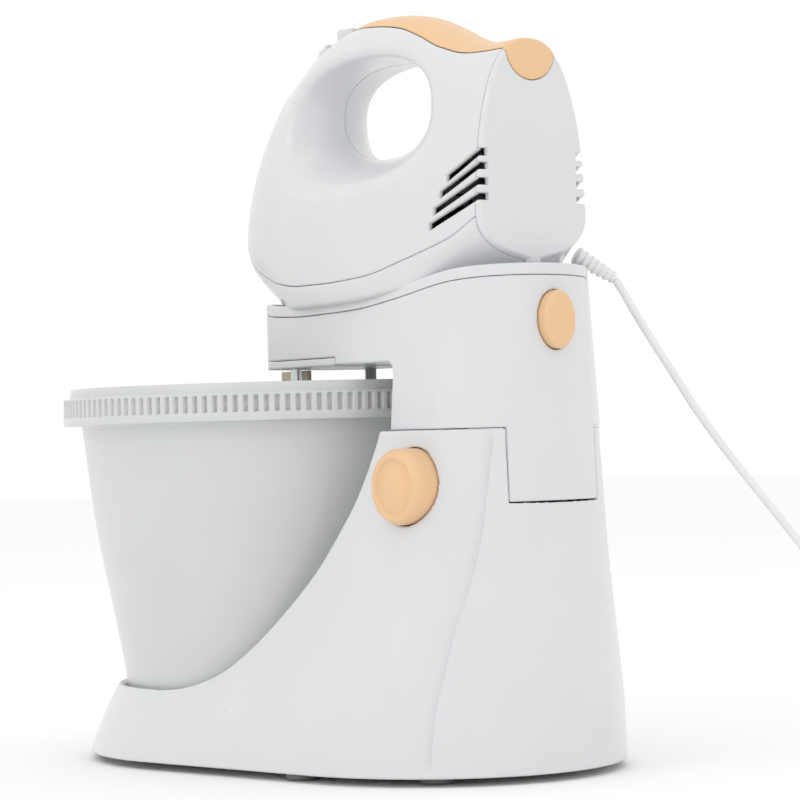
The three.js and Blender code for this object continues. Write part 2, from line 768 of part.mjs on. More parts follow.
function rearCapCut(grow) {
  const points = [];
  for (let i = 0; i <= 12; i++) {
    const turn = Math.PI + (Math.PI * i) / 12;
    points.push([(13.4 + grow) * Math.cos(turn), 300 + (12.6 + grow) * Math.sin(turn)]);
  }
  points.push([13.4 + grow, 320], [-13.4 - grow, 320]);
  const shape = new THREE.Shape(points.map((p) => new THREE.Vector2(...p)));
  const geometry = new THREE.ExtrudeGeometry(shape, { depth: 20, bevelEnabled: false });
  geometry.rotateX(Math.PI / 2);
  geometry.translate(0, mixerBack + 10, 0);
  return toSolid(geometry);
}

// The biggest separate piece of a solid.
function largest(solid) {
  const pieces = solid.decompose();
  return pieces.reduce((best, piece) => (piece.volume() > best.volume() ? piece : best));
}

// ---------------------------------------------------------------- mixer works
function makeMotor() {
  const from = 92;
  const to = 124;
  const block = box(-21, 21, from, to, motorZ - 19, motorZ + 19);
  const bore = rod([0, from - 1, motorZ], [0, to + 1, motorZ], 13.5, 13.5, 24);
  add("motor_stator", block.subtract(bore), iron);
  const core = rod([0, from + 2, motorZ], [0, to - 2, motorZ], 12.8, 12.8, 24);
  const shaft = rod([0, 27, motorZ], [0, 160, motorZ], 2.5, 2.5, 16);
  const worm = rod([0, 28, motorZ], [0, 44, motorZ], 11, 11, 20);
  add("motor_rotor", core.add(shaft).add(worm), iron);
  const ring = rod([0, 128, motorZ], [0, 138, motorZ], 8, 8, 20)
    .subtract(rod([0, 127, motorZ], [0, 139, motorZ], 2.8, 2.8, 16));
  add("commutator", ring, copper);
  const hub = rod([0, 71, motorZ], [0, 80, motorZ], 5, 5, 16);
  const blades = Array.from({ length: 8 }, (_, i) => {
    const blade = new THREE.BoxGeometry(13, 8, 1.2);
    blade.translate(10.5, 75.5, 0);
    blade.rotateY((2 * Math.PI * i) / 8);
    blade.translate(0, 0, motorZ);
    return toSolid(blade);
  });
  const fan = blades
    .reduce((body, blade) => body.add(blade), hub)
    .subtract(rod([0, 60, motorZ], [0, 90, motorZ], 2.8, 2.8, 16));
  add("cooling_fan", fan, greyPlastic);
  for (const [name, y] of [["front_bearing", 58], ["rear_bearing", 150]]) {
    const bush = rod([0, y, motorZ], [0, y + 6, motorZ], 6, 6, 20)
      .subtract(rod([0, y - 1, motorZ], [0, y + 7, motorZ], 2.8, 2.8, 16));
    add(name, bush, steel);
  }
  for (const side of [-1, 1]) {
    const brush = box(side > 0 ? 8.4 : -18, side > 0 ? 18 : -8.4, 130, 136, motorZ - 2.5, motorZ + 2.5);
    add(side > 0 ? "brush_left" : "brush_right", brush, darkPlastic);
  }
  add("switch_block", box(-7, 7, 28, 40, 288, 299), darkPlastic);
}

// A spindle with its worm wheel, and the beater that clips into it.
function makeSpindle(side, name) {
  const x = side * spindleX;
  const y = spindleY;
  const stem = rod([x, y, 206], [x, y, 238], 4.6, 4.6, 20);
  const wheel = plate(toothed(9.6, 18, 1.2).map(([px, py]) => [px + x, py + y]), 228, 234);
  const socket = rod([x, y, 204], [x, y, 222], 2.75, 2.75, 16);
  add(`spindle_${name}`, stem.add(wheel).subtract(socket), naturalPlastic);

  const shaft = rod([x, y, 50], [x, y, 220], 2.35, 2.35, 16);
  const hub = rod([x, y, 48], [x, y, 56], 4, 4, 16);
  const collar = rod([x, y, 128], [x, y, 134], 4, 4, 16);
  let beater = shaft.add(hub).add(collar);
  for (let i = 0; i < 4; i++) {
    const turn = (Math.PI / 2) * i + (side > 0 ? 0 : Math.PI / 4);
    const at = (r, z) => new THREE.Vector3(x + r * Math.cos(turn), y + r * Math.sin(turn), z);
    const wire = [[1, 51], [12, 52], [18.5, 62], [19, 84], [16, 106], [9, 124], [1, 131]];
    const loop = new THREE.CatmullRomCurve3(wire.map(([r, z]) => at(r, z)));
    beater = beater.add(bentBar(loop, [[-0.6, -2.6], [0.6, -2.6], [0.6, 2.6], [-0.6, 2.6]], 14));
  }
  add(`beater_${name}`, beater, steel);
}

function makeKeys() {
  add("speed_selector", box(-5, 5, selectorY, selectorY + 12, 308, 322.6), whitePlastic);
  add("eject_button", box(-5, 5, ejectY, ejectY + 6.5, 304, 317.8), whitePlastic);
}

// ---------------------------------------------------------------- mains lead
const leadRadius = 1.7;
const reliefFrom = [-34.4, 160, 216.6];
const reliefTo = [-49.6, 166.8, 206.8];
// The free run: [distance out from the relief, height], down in an easy curve to the table.
const leadHeading = [-0.795, 0.606];
const leadDrop = [
  [0.6, 206.2], [3.6, 201.3], [7.9, 193.4], [14.9, 181.3], [22.6, 168.6], [35.3, 147.8],
  [50, 127], [64, 108.7], [78, 90.3], [92, 71.9], [106, 53.5], [120, 35], [132, 19.2],
  [139.7, 9], [143.7, 5.2], [147.5, 3.1],
];
const leadPoint = (out, z) => [
  reliefTo[0] + leadHeading[0] * out,
  reliefTo[1] + leadHeading[1] * out,
  z,
];
// The rest of the lead is wound in a coil on the table, and the plug lies beside it.
const coilOuter = 21.3; // middle of the outer turns
const coilInner = 17.7;
const coilRows = 4;
const coilFrom = leadPoint(162, 0);
const coilAt = [coilFrom[0] - leadHeading[1] * coilOuter, coilFrom[1] + leadHeading[0] * coilOuter];
const plugY = coilAt[1] - 24;

function makeLead() {
  const from = new THREE.Vector3(...reliefFrom);
  const to = new THREE.Vector3(...reliefTo);
  const mid = (share) => from.clone().lerp(to, share).toArray();
  const relief = rod(mid(0), mid(1), 4.2, 2.6, 16).subtract(rod(mid(-0.1), mid(1.1), 1, 1, 10));
  add("strain_relief", relief, cordPlastic);
  const route = new THREE.CatmullRomCurve3(
    leadDrop.map(([out, z]) => new THREE.Vector3(...leadPoint(out, z))),
  );
  add("mains_lead", bentBar(route, circle(leadRadius, 8), 40), cordPlastic);
  const inner = coilInner - leadRadius;
  const outer = coilOuter + leadRadius;
  const top = 0.2 + 2 * leadRadius * coilRows;
  const ring = turned([[inner, 0.2], [outer, 0.2], [outer, top], [inner, top], [inner, 0.2]], ...coilAt, 24);
  add("lead_coil", ring, cordPlastic);
  const plugX = coilAt[0] - coilOuter;
  const body = box(plugX - 7, plugX + 7, plugY - 34, plugY, 0.2, 14);
  const pins = [-4.6, 4.6].map((shift) =>
    rod([plugX + shift, plugY - 53, 7], [plugX + shift, plugY - 33, 7], 2, 2, 12));
  add("mains_plug", body.add(pins[0]).add(pins[1]), cordPlastic);
}

makeBase();
makeBowl();
makeTiltRelease();
makeArm();
makeMixerRelease();
makeBowlDrive();
makeMixerBody();
makeMotor();
makeSpindle(1, "left");
makeSpindle(-1, "right");
makeKeys();
makeLead();

const machine = new THREE.Group();
group.position.y = (ringRadius - baseBack) / 2;
machine.add(group);

export default machine;
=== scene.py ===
"""Looks for the stand mixer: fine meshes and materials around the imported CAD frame."""

import math

import bmesh
import bpy
import numpy as np
import openvdb
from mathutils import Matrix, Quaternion, Vector


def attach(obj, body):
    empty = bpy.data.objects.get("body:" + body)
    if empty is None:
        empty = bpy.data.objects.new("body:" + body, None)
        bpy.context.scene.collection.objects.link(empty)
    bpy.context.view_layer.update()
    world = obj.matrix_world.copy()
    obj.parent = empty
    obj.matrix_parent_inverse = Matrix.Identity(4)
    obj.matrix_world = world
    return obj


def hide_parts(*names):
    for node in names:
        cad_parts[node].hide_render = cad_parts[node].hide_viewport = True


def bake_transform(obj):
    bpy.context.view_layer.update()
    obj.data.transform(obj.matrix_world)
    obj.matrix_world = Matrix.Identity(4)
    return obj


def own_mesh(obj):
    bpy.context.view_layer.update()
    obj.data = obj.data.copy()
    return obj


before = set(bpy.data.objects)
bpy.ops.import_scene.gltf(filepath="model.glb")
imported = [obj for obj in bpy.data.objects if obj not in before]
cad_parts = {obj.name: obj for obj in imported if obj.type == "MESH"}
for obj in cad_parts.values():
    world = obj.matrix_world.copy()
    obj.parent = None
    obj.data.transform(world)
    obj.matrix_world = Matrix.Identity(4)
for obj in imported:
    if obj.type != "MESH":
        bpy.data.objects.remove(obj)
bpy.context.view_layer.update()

# Sizes are in millimetres. Sideways and lengthwise they are measured from the bowl's axis, and
# upwards from the table. BOWL_AXIS_Y is where that axis stands in the CAD frame.
BOWL_AXIS_Y = -43.0

BASE_TOP = 144.0
HINGE_Y = 177.0
HINGE_Z = 119.0
TILT_BUTTON_Y = 143.0
TILT_BUTTON_Z = 121.0
RELEASE_Z = 188.0
SPINDLE_X = 21.0
SPINDLE_Y = 36.0
SKIRT_HALF = 24.0
SKIRT_FRONT = 165.0
ARM_FRONT = 19.0
ARM_UNDERSIDE = 172.8
PLATE_TOP = 176.2
SHELL_BACK = 169.7
PLATE_FRONT = 169.9
PLATE_BACK = 172.6
SHELL_WALL = 2.6


# ---------------------------------------------------------------- camera, light, floor
def make_camera():
    """The photograph's viewpoint: behind the machine, on its left, a little below half its height."""
    data = bpy.data.cameras.new("camera")
    data.sensor_width = 36.0
    data.lens = 132.66
    data.clip_start = 0.05
    data.clip_end = 20.0
    camera = bpy.data.objects.new("camera", data)
    bpy.context.scene.collection.objects.link(camera)
    distance = 1.349
    heading = math.radians(37.3)
    aside = 0.0389
    camera.location = (
        distance * math.sin(heading),
        distance * math.cos(heading) + BOWL_AXIS_Y / 1000,
        0.1398,
    )
    turn = heading + aside
    aim = Vector((-math.sin(turn), -math.cos(turn), 0.0139))
    camera.rotation_mode = "QUATERNION"
    camera.rotation_quaternion = aim.to_track_quat("-Z", "Y")
    roll = Quaternion((0, 0, 1), -0.025)
    camera.rotation_quaternion = camera.rotation_quaternion @ roll
    bpy.context.scene.camera = camera


def area_light(name, location, target, size, power):
    """A soft panel of the given size and watts, turned to face the target."""
    data = bpy.data.lights.new(name, "AREA")
    data.shape = "RECTANGLE"
    data.size = size[0]
    data.size_y = size[1]
    data.energy = power
    light = bpy.data.objects.new(name, data)
    light.location = location
    light.rotation_mode = "QUATERNION"
    light.rotation_quaternion = (Vector(target) - Vector(location)).to_track_quat("-Z", "Y")
    bpy.context.scene.collection.objects.link(light)


def make_stage():
    """An even white studio with three soft panels, and a pale floor."""
    world = bpy.data.worlds.new("studio")
    world.use_nodes = True
    background = world.node_tree.nodes["Background"]
    background.inputs["Color"].default_value = (1.0, 1.0, 1.0, 1.0)
    background.inputs["Strength"].default_value = 1.0
    bpy.context.scene.world = world
    bpy.context.scene.view_settings.view_transform = "Standard"
    middle = (0, 0, 0.15)
    area_light("key", (2.0, 0.1, 1.3), middle, (0.9, 0.9), 4)
    area_light("rear", (0.2, 2.2, 0.9), middle, (1.0, 1.0), 1.5)
    area_light("top", (0, 0, 2.2), middle, (1.6, 1.6), 3)
    reach = 6.0
    below = -0.0002
    corners = [(-reach, -reach), (reach, -reach), (reach, reach), (-reach, reach)]
    mesh = bpy.data.meshes.new("floor")
    mesh.from_pydata([(x, y, below) for x, y in corners], [], [(0, 1, 2, 3)])
    floor = bpy.data.objects.new("floor", mesh)
    floor.data.materials.append(plastic("floor_paper", (0.96, 0.96, 0.96), 0.9, 0.004, 3, 0))
    bpy.context.scene.collection.objects.link(floor)


# ---------------------------------------------------------------- materials
def plastic(name, colour, roughness, mottle, scale, grain, coat=0.0):
    """Moulded plastic: a faint mottle in the colour and gloss, and a fine moulded grain."""
    material = bpy.data.materials.new(name)
    material.use_nodes = True
    nodes = material.node_tree.nodes
    links = material.node_tree.links
    shader = nodes["Principled BSDF"]
    shader.inputs["Coat Weight"].default_value = coat
    shader.inputs["Coat Roughness"].default_value = 0.12
    place = nodes.new("ShaderNodeTexCoord")
    cloud = nodes.new("ShaderNodeTexNoise")
    cloud.inputs["Scale"].default_value = scale
    cloud.inputs["Detail"].default_value = 3.0
    links.new(place.outputs["Object"], cloud.inputs["Vector"])
    tint = nodes.new("ShaderNodeValToRGB")
    dark = [c * (1 - mottle) for c in colour]
    light = [min(1.0, c * (1 + mottle)) for c in colour]
    tint.color_ramp.elements[0].position = 0.3
    tint.color_ramp.elements[0].color = (*dark, 1)
    tint.color_ramp.elements[1].position = 0.7
    tint.color_ramp.elements[1].color = (*light, 1)
    links.new(cloud.outputs["Fac"], tint.inputs["Fac"])
    links.new(tint.outputs["Color"], shader.inputs["Base Color"])
    gloss = nodes.new("ShaderNodeMapRange")
    gloss.inputs["To Min"].default_value = roughness * 0.88
    gloss.inputs["To Max"].default_value = roughness * 1.12
    links.new(cloud.outputs["Fac"], gloss.inputs["Value"])
    links.new(gloss.outputs["Result"], shader.inputs["Roughness"])
    if grain > 0:
        speck = nodes.new("ShaderNodeTexNoise")
        speck.inputs["Scale"].default_value = 900.0
        speck.inputs["Detail"].default_value = 2.0
        links.new(place.outputs["Object"], speck.inputs["Vector"])
        bump = nodes.new("ShaderNodeBump")
        bump.inputs["Strength"].default_value = grain
        bump.inputs["Distance"].default_value = 0.0005
        links.new(speck.outputs["Fac"], bump.inputs["Height"])
        links.new(bump.outputs["Normal"], shader.inputs["Normal"])
    return material


def metal(name, colour, roughness):
    """Bare metal with fine drawn lines that run upwards."""
    material = bpy.data.materials.new(name)
    material.use_nodes = True
    nodes = material.node_tree.nodes
    links = material.node_tree.links
    shader = nodes["Principled BSDF"]
    shader.inputs["Metallic"].default_value = 1.0
    place = nodes.new("ShaderNodeTexCoord")
    spread = nodes.new("ShaderNodeMapping")
    spread.inputs["Scale"].default_value = (400.0, 400.0, 20.0)
    lines = nodes.new("ShaderNodeTexNoise")
    lines.inputs["Scale"].default_value = 4.0
    lines.inputs["Detail"].default_value = 4.0
    links.new(place.outputs["Object"], spread.inputs["Vector"])
    links.new(spread.outputs["Vector"], lines.inputs["Vector"])
    tint = nodes.new("ShaderNodeValToRGB")
    tint.color_ramp.elements[0].color = (*[c * 0.8 for c in colour], 1)
    tint.color_ramp.elements[1].color = (*colour, 1)
    links.new(lines.outputs["Fac"], tint.inputs["Fac"])
    links.new(tint.outputs["Color"], shader.inputs["Base Color"])
    gloss = nodes.new("ShaderNodeMapRange")
    gloss.inputs["To Min"].default_value = roughness * 0.7
    gloss.inputs["To Max"].default_value = roughness * 1.3
    links.new(lines.outputs["Fac"], gloss.inputs["Value"])
    links.new(gloss.outputs["Result"], shader.inputs["Roughness"])
    return material


# ---------------------------------------------------------------- curves and mesh building
def through(*points):
    """A smooth line through (position, value) points that never overshoots between them."""
    at = np.array([p[0] for p in points], float)
    value = np.array([p[1] for p in points], float)
    step = np.diff(at)
    slope = np.diff(value) / step
    lean = np.empty(len(at))
    lean[0], lean[-1] = slope[0], slope[-1]
    same = slope[:-1] * slope[1:] > 0
    mean = np.zeros(len(slope) - 1)
    product = (2 * slope[:-1] * slope[1:])[same]
    mean[same] = product / (slope[:-1] + slope[1:])[same]
    lean[1:-1] = mean

    def line(t):
        t = np.clip(np.asarray(t, float), at[0], at[-1])
        i = np.clip(np.searchsorted(at, t) - 1, 0, len(step) - 1)
        s = (t - at[i]) / step[i]
        a = value[i] * (1 + 2 * s) * (1 - s) ** 2
        b = step[i] * lean[i] * s * (1 - s) ** 2
        c = value[i + 1] * s * s * (3 - 2 * s)
        d = step[i] * lean[i + 1] * s * s * (s - 1)
        return a + b + c + d

    return line


def ring_faces(rows, ring):
    """The faces of a tube of rows of points, ring points to a row, closed at both ends."""
    faces = [
        (i * ring + k, i * ring + (k + 1) % ring, (i + 1) * ring + (k + 1) % ring, (i + 1) * ring + k)
        for i in range(rows - 1)
        for k in range(ring)
    ]
    faces.append(tuple(range(ring))[::-1])
    faces.append(tuple((rows - 1) * ring + k for k in range(ring)))
    return faces


def make_mesh(name, points, faces, material, body):
    """A mesh object from millimetre points measured from the bowl's axis."""
    points = np.asarray(points, float) + np.array([0.0, BOWL_AXIS_Y, 0.0])
    mesh = bpy.data.meshes.new(name)
    mesh.from_pydata((points / 1000).tolist(), [], [list(map(int, f)) for f in faces])
    mesh.update()
    mesh.shade_smooth()
    made = bpy.data.objects.new(name, mesh)
    bpy.context.scene.collection.objects.link(made)
    made.data.materials.append(material)
    if body:
        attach(made, body)
    return made


def big_mesh(name, points, quads, material, body):
    """As make_mesh, for many four-sided faces held in arrays."""
    points = (np.asarray(points, float) + np.array([0.0, BOWL_AXIS_Y, 0.0])) / 1000
    mesh = bpy.data.meshes.new(name)
    mesh.vertices.add(len(points))
    mesh.vertices.foreach_set("co", points.astype(np.float32).ravel())
    mesh.loops.add(quads.size)
    mesh.loops.foreach_set("vertex_index", quads.astype(np.int32).ravel())
    mesh.polygons.add(len(quads))
    mesh.polygons.foreach_set("loop_start", np.arange(0, quads.size, 4, dtype=np.int32))
    mesh.update(calc_edges=True)
    mesh.validate()
    mesh.shade_smooth()
    made = bpy.data.objects.new(name, mesh)
    bpy.context.scene.collection.objects.link(made)
    made.data.materials.append(material)
    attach(made, body)
    return made


def solid(name, field, low, high, material, body, cell=0.6):
    """The surface where field(x, y, z) is zero, negative inside, as a mesh in a box."""
    low = np.array(low, float) - 2 * cell
    count = np.ceil((np.array(high, float) + 2 * cell - low) / cell).astype(int) + 1
    x, y, z = (low[i] + cell * np.arange(count[i]) for i in range(3))
    values = field(x[:, None, None], y[None, :, None], z[None, None, :])
    reach = 3.0 * cell
    samples = np.empty(tuple(count), np.float32)
    samples[...] = np.clip(values, -reach, reach)
    grid = openvdb.FloatGrid(reach)
    grid.copyFromArray(samples)
    points, quads = grid.convertToQuads(0.0)
    points = points.astype(float) * cell + low
    for _ in range(2):
        points = settle(points, field, cell)
    quads = quads.astype(int)
    a, b, c, d = (points[quads[:, i]] for i in range(4))
    volume = np.einsum("ij,ij->", a, np.cross(b, c)) + np.einsum("ij,ij->", a, np.cross(c, d))
    if volume < 0:
        quads = quads[:, ::-1]
    return big_mesh(name, points, quads, material, body)


def settle(points, field, cell):
    """Moves points onto the field's zero surface, a little at a time."""
    step = 0.05
    x, y, z = points.T
    here = field(x, y, z)
    slope = np.stack(
        [
            field(x + step, y, z) - field(x - step, y, z),
            field(x, y + step, z) - field(x, y - step, z),
            field(x, y, z + step) - field(x, y, z - step),
        ],
        axis=1,
    ) / (2 * step)
    size = np.maximum((slope**2).sum(1), 0.05)
    move = -slope * (here / size)[:, None]
    length = np.sqrt((move**2).sum(1))
    move *= np.minimum(1.0, 0.4 * cell / np.maximum(length, 1e-9))[:, None]
    return points + move


def lathe(name, profile, material, body, sides, sideways_at=None):
    """A solid of revolution of [radius, along] points, about the bowl's axis.

    With sideways_at, a (y, z) place, it turns about a sideways line through that place instead.
    """
    profile = np.array(profile, float)
    turn = np.linspace(0, 2 * np.pi, sides, endpoint=False)
    radius = np.maximum(profile[:, 0], 0.0)[None, :]
    a = radius * np.cos(turn)[:, None]
    b = radius * np.sin(turn)[:, None]
    along = np.broadcast_to(profile[:, 1][None, :], a.shape)
    if sideways_at is None:
        points = np.stack([a, b, along], -1)
    else:
        points = np.stack([along, a + sideways_at[0], b + sideways_at[1]], -1)
    count = len(profile)
    faces = []
    for i in range(sides):
        j = (i + 1) % sides
        for k in range(count - 1):
            faces.append((i * count + k, j * count + k, j * count + k + 1, i * count + k + 1))
    made = make_mesh(name, points.reshape(-1, 3), faces, material, body)
    tidy(made)
    return made


def tidy(made):
    """Merges points that meet, drops empty faces and turns every face outwards."""
    work = bmesh.new()
    work.from_mesh(made.data)
    bmesh.ops.remove_doubles(work, verts=work.verts, dist=1e-7)
    bmesh.ops.dissolve_degenerate(work, edges=work.edges, dist=1e-8)
    bmesh.ops.recalc_face_normals(work, faces=work.faces)
    work.to_mesh(made.data)
    work.free()
    made.data.shade_smooth()


def rounded(points, radius, steps=4):
    """The same line of [a, b] points with a small round at each corner between its ends."""
    points = [np.array(p, float) for p in points]
    out = [points[0]]
    for before, corner, after in zip(points, points[1:], points[2:]):
        u = before - corner
        v = after - corner
        reach = min(radius, np.linalg.norm(u) * 0.45, np.linalg.norm(v) * 0.45)
        p = corner + u / np.linalg.norm(u) * reach
        q = corner + v / np.linalg.norm(v) * reach
        for i in range(steps + 1):
            s = i / steps
            out.append(p * (1 - s) ** 2 + corner * 2 * s * (1 - s) + q * s * s)
    out.append(points[-1])
    return out


# ---------------------------------------------------------------- fields
def both(a, b, radius=0.0):
    """Where a and b overlap, with the edge between them rounded."""
    if radius <= 0:
        return np.maximum(a, b)
    u = np.maximum(a + radius, 0)
    v = np.maximum(b + radius, 0)
    return np.minimum(np.maximum(a, b), -radius) + np.sqrt(u * u + v * v)


def without(a, b, radius=0.0):
    """Where a is and b isn't, with the edge between them rounded."""
    return both(a, -b, radius)


def block(x, y, z, low, high, radius=0.0):
    """A box with rounded edges."""
    centre = [(a + b) / 2 for a, b in zip(low, high)]
    half = [(b - a) / 2 - radius for a, b in zip(low, high)]
    q = [np.abs(p - c) - h for p, c, h in zip((x, y, z), centre, half)]
    outside = np.sqrt(sum(np.maximum(v, 0) ** 2 for v in q))
    inside = np.minimum(np.maximum(np.maximum(q[0], q[1]), q[2]), 0)
    return outside + inside - radius


def ellipse(x, v, half, bow):
    """About how far a point is outside an ellipse that reaches half sideways and bow along."""
    q = np.maximum(np.sqrt((x / half) ** 2 + (v / bow) ** 2), 0.001)
    slope = np.sqrt((x / half**2) ** 2 + (v / bow**2) ** 2)
    return (q - 1) * q / np.maximum(slope, 1e-4)


# ---------------------------------------------------------------- the base
# The base's outline at each height: its round front, its half-width where the back begins to
# curve, how far that curve reaches, and the back itself.
base_front = through(
    (3, 91.8), (8, 90.3), (17, 86.6), (24.5, 83.3), (31, 79.8), (44, 71.5), (69, 62), (94, 54),
    (114, 49), (130, 45.5), (144, 43), (150, 42),
)
base_half = through(
    (3, 79), (12, 77), (24, 74), (31, 72), (44, 67.5), (69, 59.5), (94, 52), (114, 47.5),
    (130, 44.5), (144, 42), (150, 41.5),
)
base_bow = through(
    (3, 88), (12, 83), (24, 76), (31, 72), (44, 65), (69, 54), (94, 43), (114, 35.5),
    (130, 31.5), (144, 29), (150, 29),
)
base_back = through((3, 187), (144, 184.5), (150, 184.4))
scoop_radius = through(
    (27, 76.2), (31, 76.4), (35, 78.6), (40, 81.4), (52, 87.6), (68, 96.4), (85, 105.5), (102, 113),
    (115, 118.8), (131, 123.6), (144, 126.2), (173, 127.2),
)
crease_y = through(
    (3, 161.5), (27, 162.7), (45, 165), (63, 167.3), (75, 169.8), (89, 172), (107, 174),
    (130, 175.3), (144, 176),
)


def base_outline(x, y, z, grow=0.0):
    """Round front, sides that draw in, elliptical back; less than zero inside."""
    front = base_front(z)
    half = base_half(z)
    bow = base_bow(z)
    back = base_back(z)
    centre = back - bow
    lean = np.arctan2(front - half, centre)
    c, s = np.cos(lean), np.sin(lean)
    nose = np.sqrt(x * x + y * y) - front
    side = np.abs(x) * c + y * s - front
    heel = ellipse(x, y - centre, half, bow)
    whole = np.where(y < front * s, nose, np.where(y > centre + bow * s, heel, side))
    return whole - grow


def scoop(x, y, z):
    """The hollow that the bowl stands in."""
    radius = scoop_radius(z)
    slope = scoop_radius(z + 0.5) - scoop_radius(z - 0.5)
    wall = (np.sqrt(x * x + y * y) - radius) / np.sqrt(1 + slope**2)
    return both(wall, 27.0 - z, 1.0)


def crease(x, y, z):
    """A shallow step on the flanks: the rear panel stands proud of the one ahead of it."""
    ahead = crease_y(z) - y
    dip = 1.7 * np.exp(-np.maximum(ahead, 0) / 8.0) * np.clip(ahead / 1.4 + 0.5, 0, 1)
    fade = np.clip((z - 3) / 6, 0, 1) * np.clip((146 - z) / 8, 0, 1)
    return dip * fade


def base_body(x, y, z):
    """The base as if it were filled: its outline less the crease and the scoop."""
    outer = base_outline(x, y, z) + crease(x, y, z)
    return without(outer, scoop(x, y, z), 1.1)


def hinge_ears(x, y, z):
    """The two upright ears that hold the hinge pin."""
    x = np.abs(x)
    foot = block(x, y, z, (9, 169, 98), (12, 183.4, 108.8), 0.4)
    post = block(x, y, z, (9, 169, 98), (12, 175.5, HINGE_Z), 0.4)
    eye = np.maximum(from_hinge(y, z) - 4.0, np.abs(x - 10.5) - 1.5)
    return np.minimum(np.minimum(foot, post), eye)


def from_hinge(y, z):
    return np.sqrt((y - HINGE_Y) ** 2 + (z - HINGE_Z) ** 2)


def base_shell(x, y, z):
    """The hollow base, with the skirt's notch, the tilt button's hole and the hinge's ears."""
    cavity = np.maximum(np.maximum(base_outline(x, y, z), -scoop(x, y, z)) + 2.9, z - BASE_TOP + 2.8)
    shell = both(base_body(x, y, z), z - BASE_TOP, 0.6)
    shell = both(shell, 3.2 - z, 0.5)
    shell = without(shell, cavity)
    beside = np.abs(x) - SKIRT_HALF - 0.4
    notch = np.maximum(np.maximum(beside, 113.5 - z), SKIRT_FRONT + 1.0 - y)
    shell = without(shell, notch, 0.3)
    from_button = np.sqrt((y - TILT_BUTTON_Y) ** 2 + (z - TILT_BUTTON_Z) ** 2)
    shell = without(shell, np.maximum(from_button - 16.15, 20.0 - x), 0.35)
    skirt_back = 149.5 + 35.5 * np.sqrt(np.maximum(1 - (x / 47.5) ** 2, 0))
    swing_radius = np.sqrt(np.maximum(skirt_back - HINGE_Y, 0) ** 2 + 25.0) - 0.1
    shell = without(shell, np.maximum(from_hinge(y, z) - swing_radius, beside))
    return np.minimum(shell, hinge_ears(x, y, z))


# ---------------------------------------------------------------- the arm
lip_height = through(
    (10, 203), (19, 202.4), (32, 200.9), (50, 200.2), (90, 201), (120, 204), (155, 209),
    (184, 211.5), (200, 212),
)
arm_half = through((144, 42), (211, 36), (216, 35.6))
arm_bow = through((144, 29), (211, 26), (216, 25.8))
arm_back = through((144, 184.5), (211, 183), (216, 182.9))


def arm_outline(x, y, z):
    """Square front with round corners, sides that widen to an elliptical back."""
    half = arm_half(z)
    bow = arm_bow(z)
    back = arm_back(z)
    centre = back - bow
    lean = np.arctan2(half - 28.0, centre - 27.0)
    swing = lean * half / bow
    joint_x = half * np.cos(swing)
    joint_y = centre - bow * np.sin(swing)
    lean = np.arctan2(joint_x - 28.0, joint_y - 27.0)
    side = (np.abs(x) - joint_x) * np.cos(lean) - (y - joint_y) * np.sin(lean)
    heel = ellipse(x, y - centre, half, bow)
    flank = np.where(y > joint_y, heel, side)
    return both(flank, ARM_FRONT - y + 0 * z, 8.0)


def arm_throat(x, y, z):
    """The round hollow under the beam that clears the bowl's rim."""
    r = np.sqrt(x * x + y * y)
    return both(r - 127.5, z - 173.0, 5.0)


def spindle_holes(x, y, z, radius):
    """The two round holes that the spindles pass down through."""
    return np.sqrt((np.abs(x) - SPINDLE_X) ** 2 + (y - SPINDLE_Y) ** 2) - radius + 0 * z


def hinge_knuckle(x, y, z):
    """The arm's part of the hinge, between the base's two ears."""
    barrel = np.maximum(from_hinge(y, z) - 4.0, np.abs(x) - 8.5)
    return np.minimum(barrel, block(x, y, z, (-8.5, HINGE_Y, 116), (8.5, 183.6, 123), 0.3))


def arm_shell(x, y, z):
    """The hollow arm and the skirt that hangs down its back over the base."""
    outer = without(arm_outline(x, y, z), arm_throat(x, y, z), 1.0)
    within_skirt = np.maximum(base_outline(x, y, z), np.abs(x) - SKIRT_HALF)
    skirt = both(np.maximum(within_skirt, SKIRT_FRONT - y), 114.0 - z, 0.8)
    body = both(outer, BASE_TOP + 0.35 - z, 0.5)
    body = np.minimum(body, both(skirt, z - 150.0))
    cavity = np.maximum(np.maximum(arm_outline(x, y, z), -arm_throat(x, y, z)) + 2.5, 140.0 - z)
    tail = np.maximum(within_skirt, z - 146.0) + 2.5
    shell = without(without(body, cavity), np.maximum(tail, 150.0 - y))
    shell = both(shell, z - (lip_height(y) - 5.12), 0.3)
    pocket = np.maximum(z - 176.5, y - 78.3) + 0 * x
    shell = without(shell, pocket, 0.4)
    hole = ellipse(x, z - RELEASE_Z, 8.9, 12.4)
    shell = without(shell, np.maximum(hole, 150.0 - y), 0.5)
    return np.minimum(shell, hinge_knuckle(x, y, z))


def arm_cover(x, y, z):
    """The cover on top of the arm, with the raised lip that the mixer sits in."""
    lip = lip_height(y)
    outer = arm_outline(x, y, z)
    body = both(outer, z - lip, 1.1)
    body = both(body, lip - 4.85 - z, 0.3)
    recess = np.maximum(outer + 2.9, lip - 2.3 - z)
    body = without(body, recess, 0.5)
    return without(body, spindle_holes(x, y, z, 4.5), 0.3)


def arm_plate(x, y, z):
    """The plate that closes the beam from below, with a tongue at its front."""
    outer = arm_outline(x, y, z)
    body = np.maximum(both(outer, ARM_UNDERSIDE - z, 0.8), z - PLATE_TOP)
    body = both(body, y - 78.0, 0.5)
    tongue = block(x, y, z, (-19, 17.2, ARM_UNDERSIDE), (19, 30, ARM_UNDERSIDE + 2), 0.5)
    body = np.minimum(body, tongue)
    return without(body, spindle_holes(x, y, z, 5.0), 0.4)


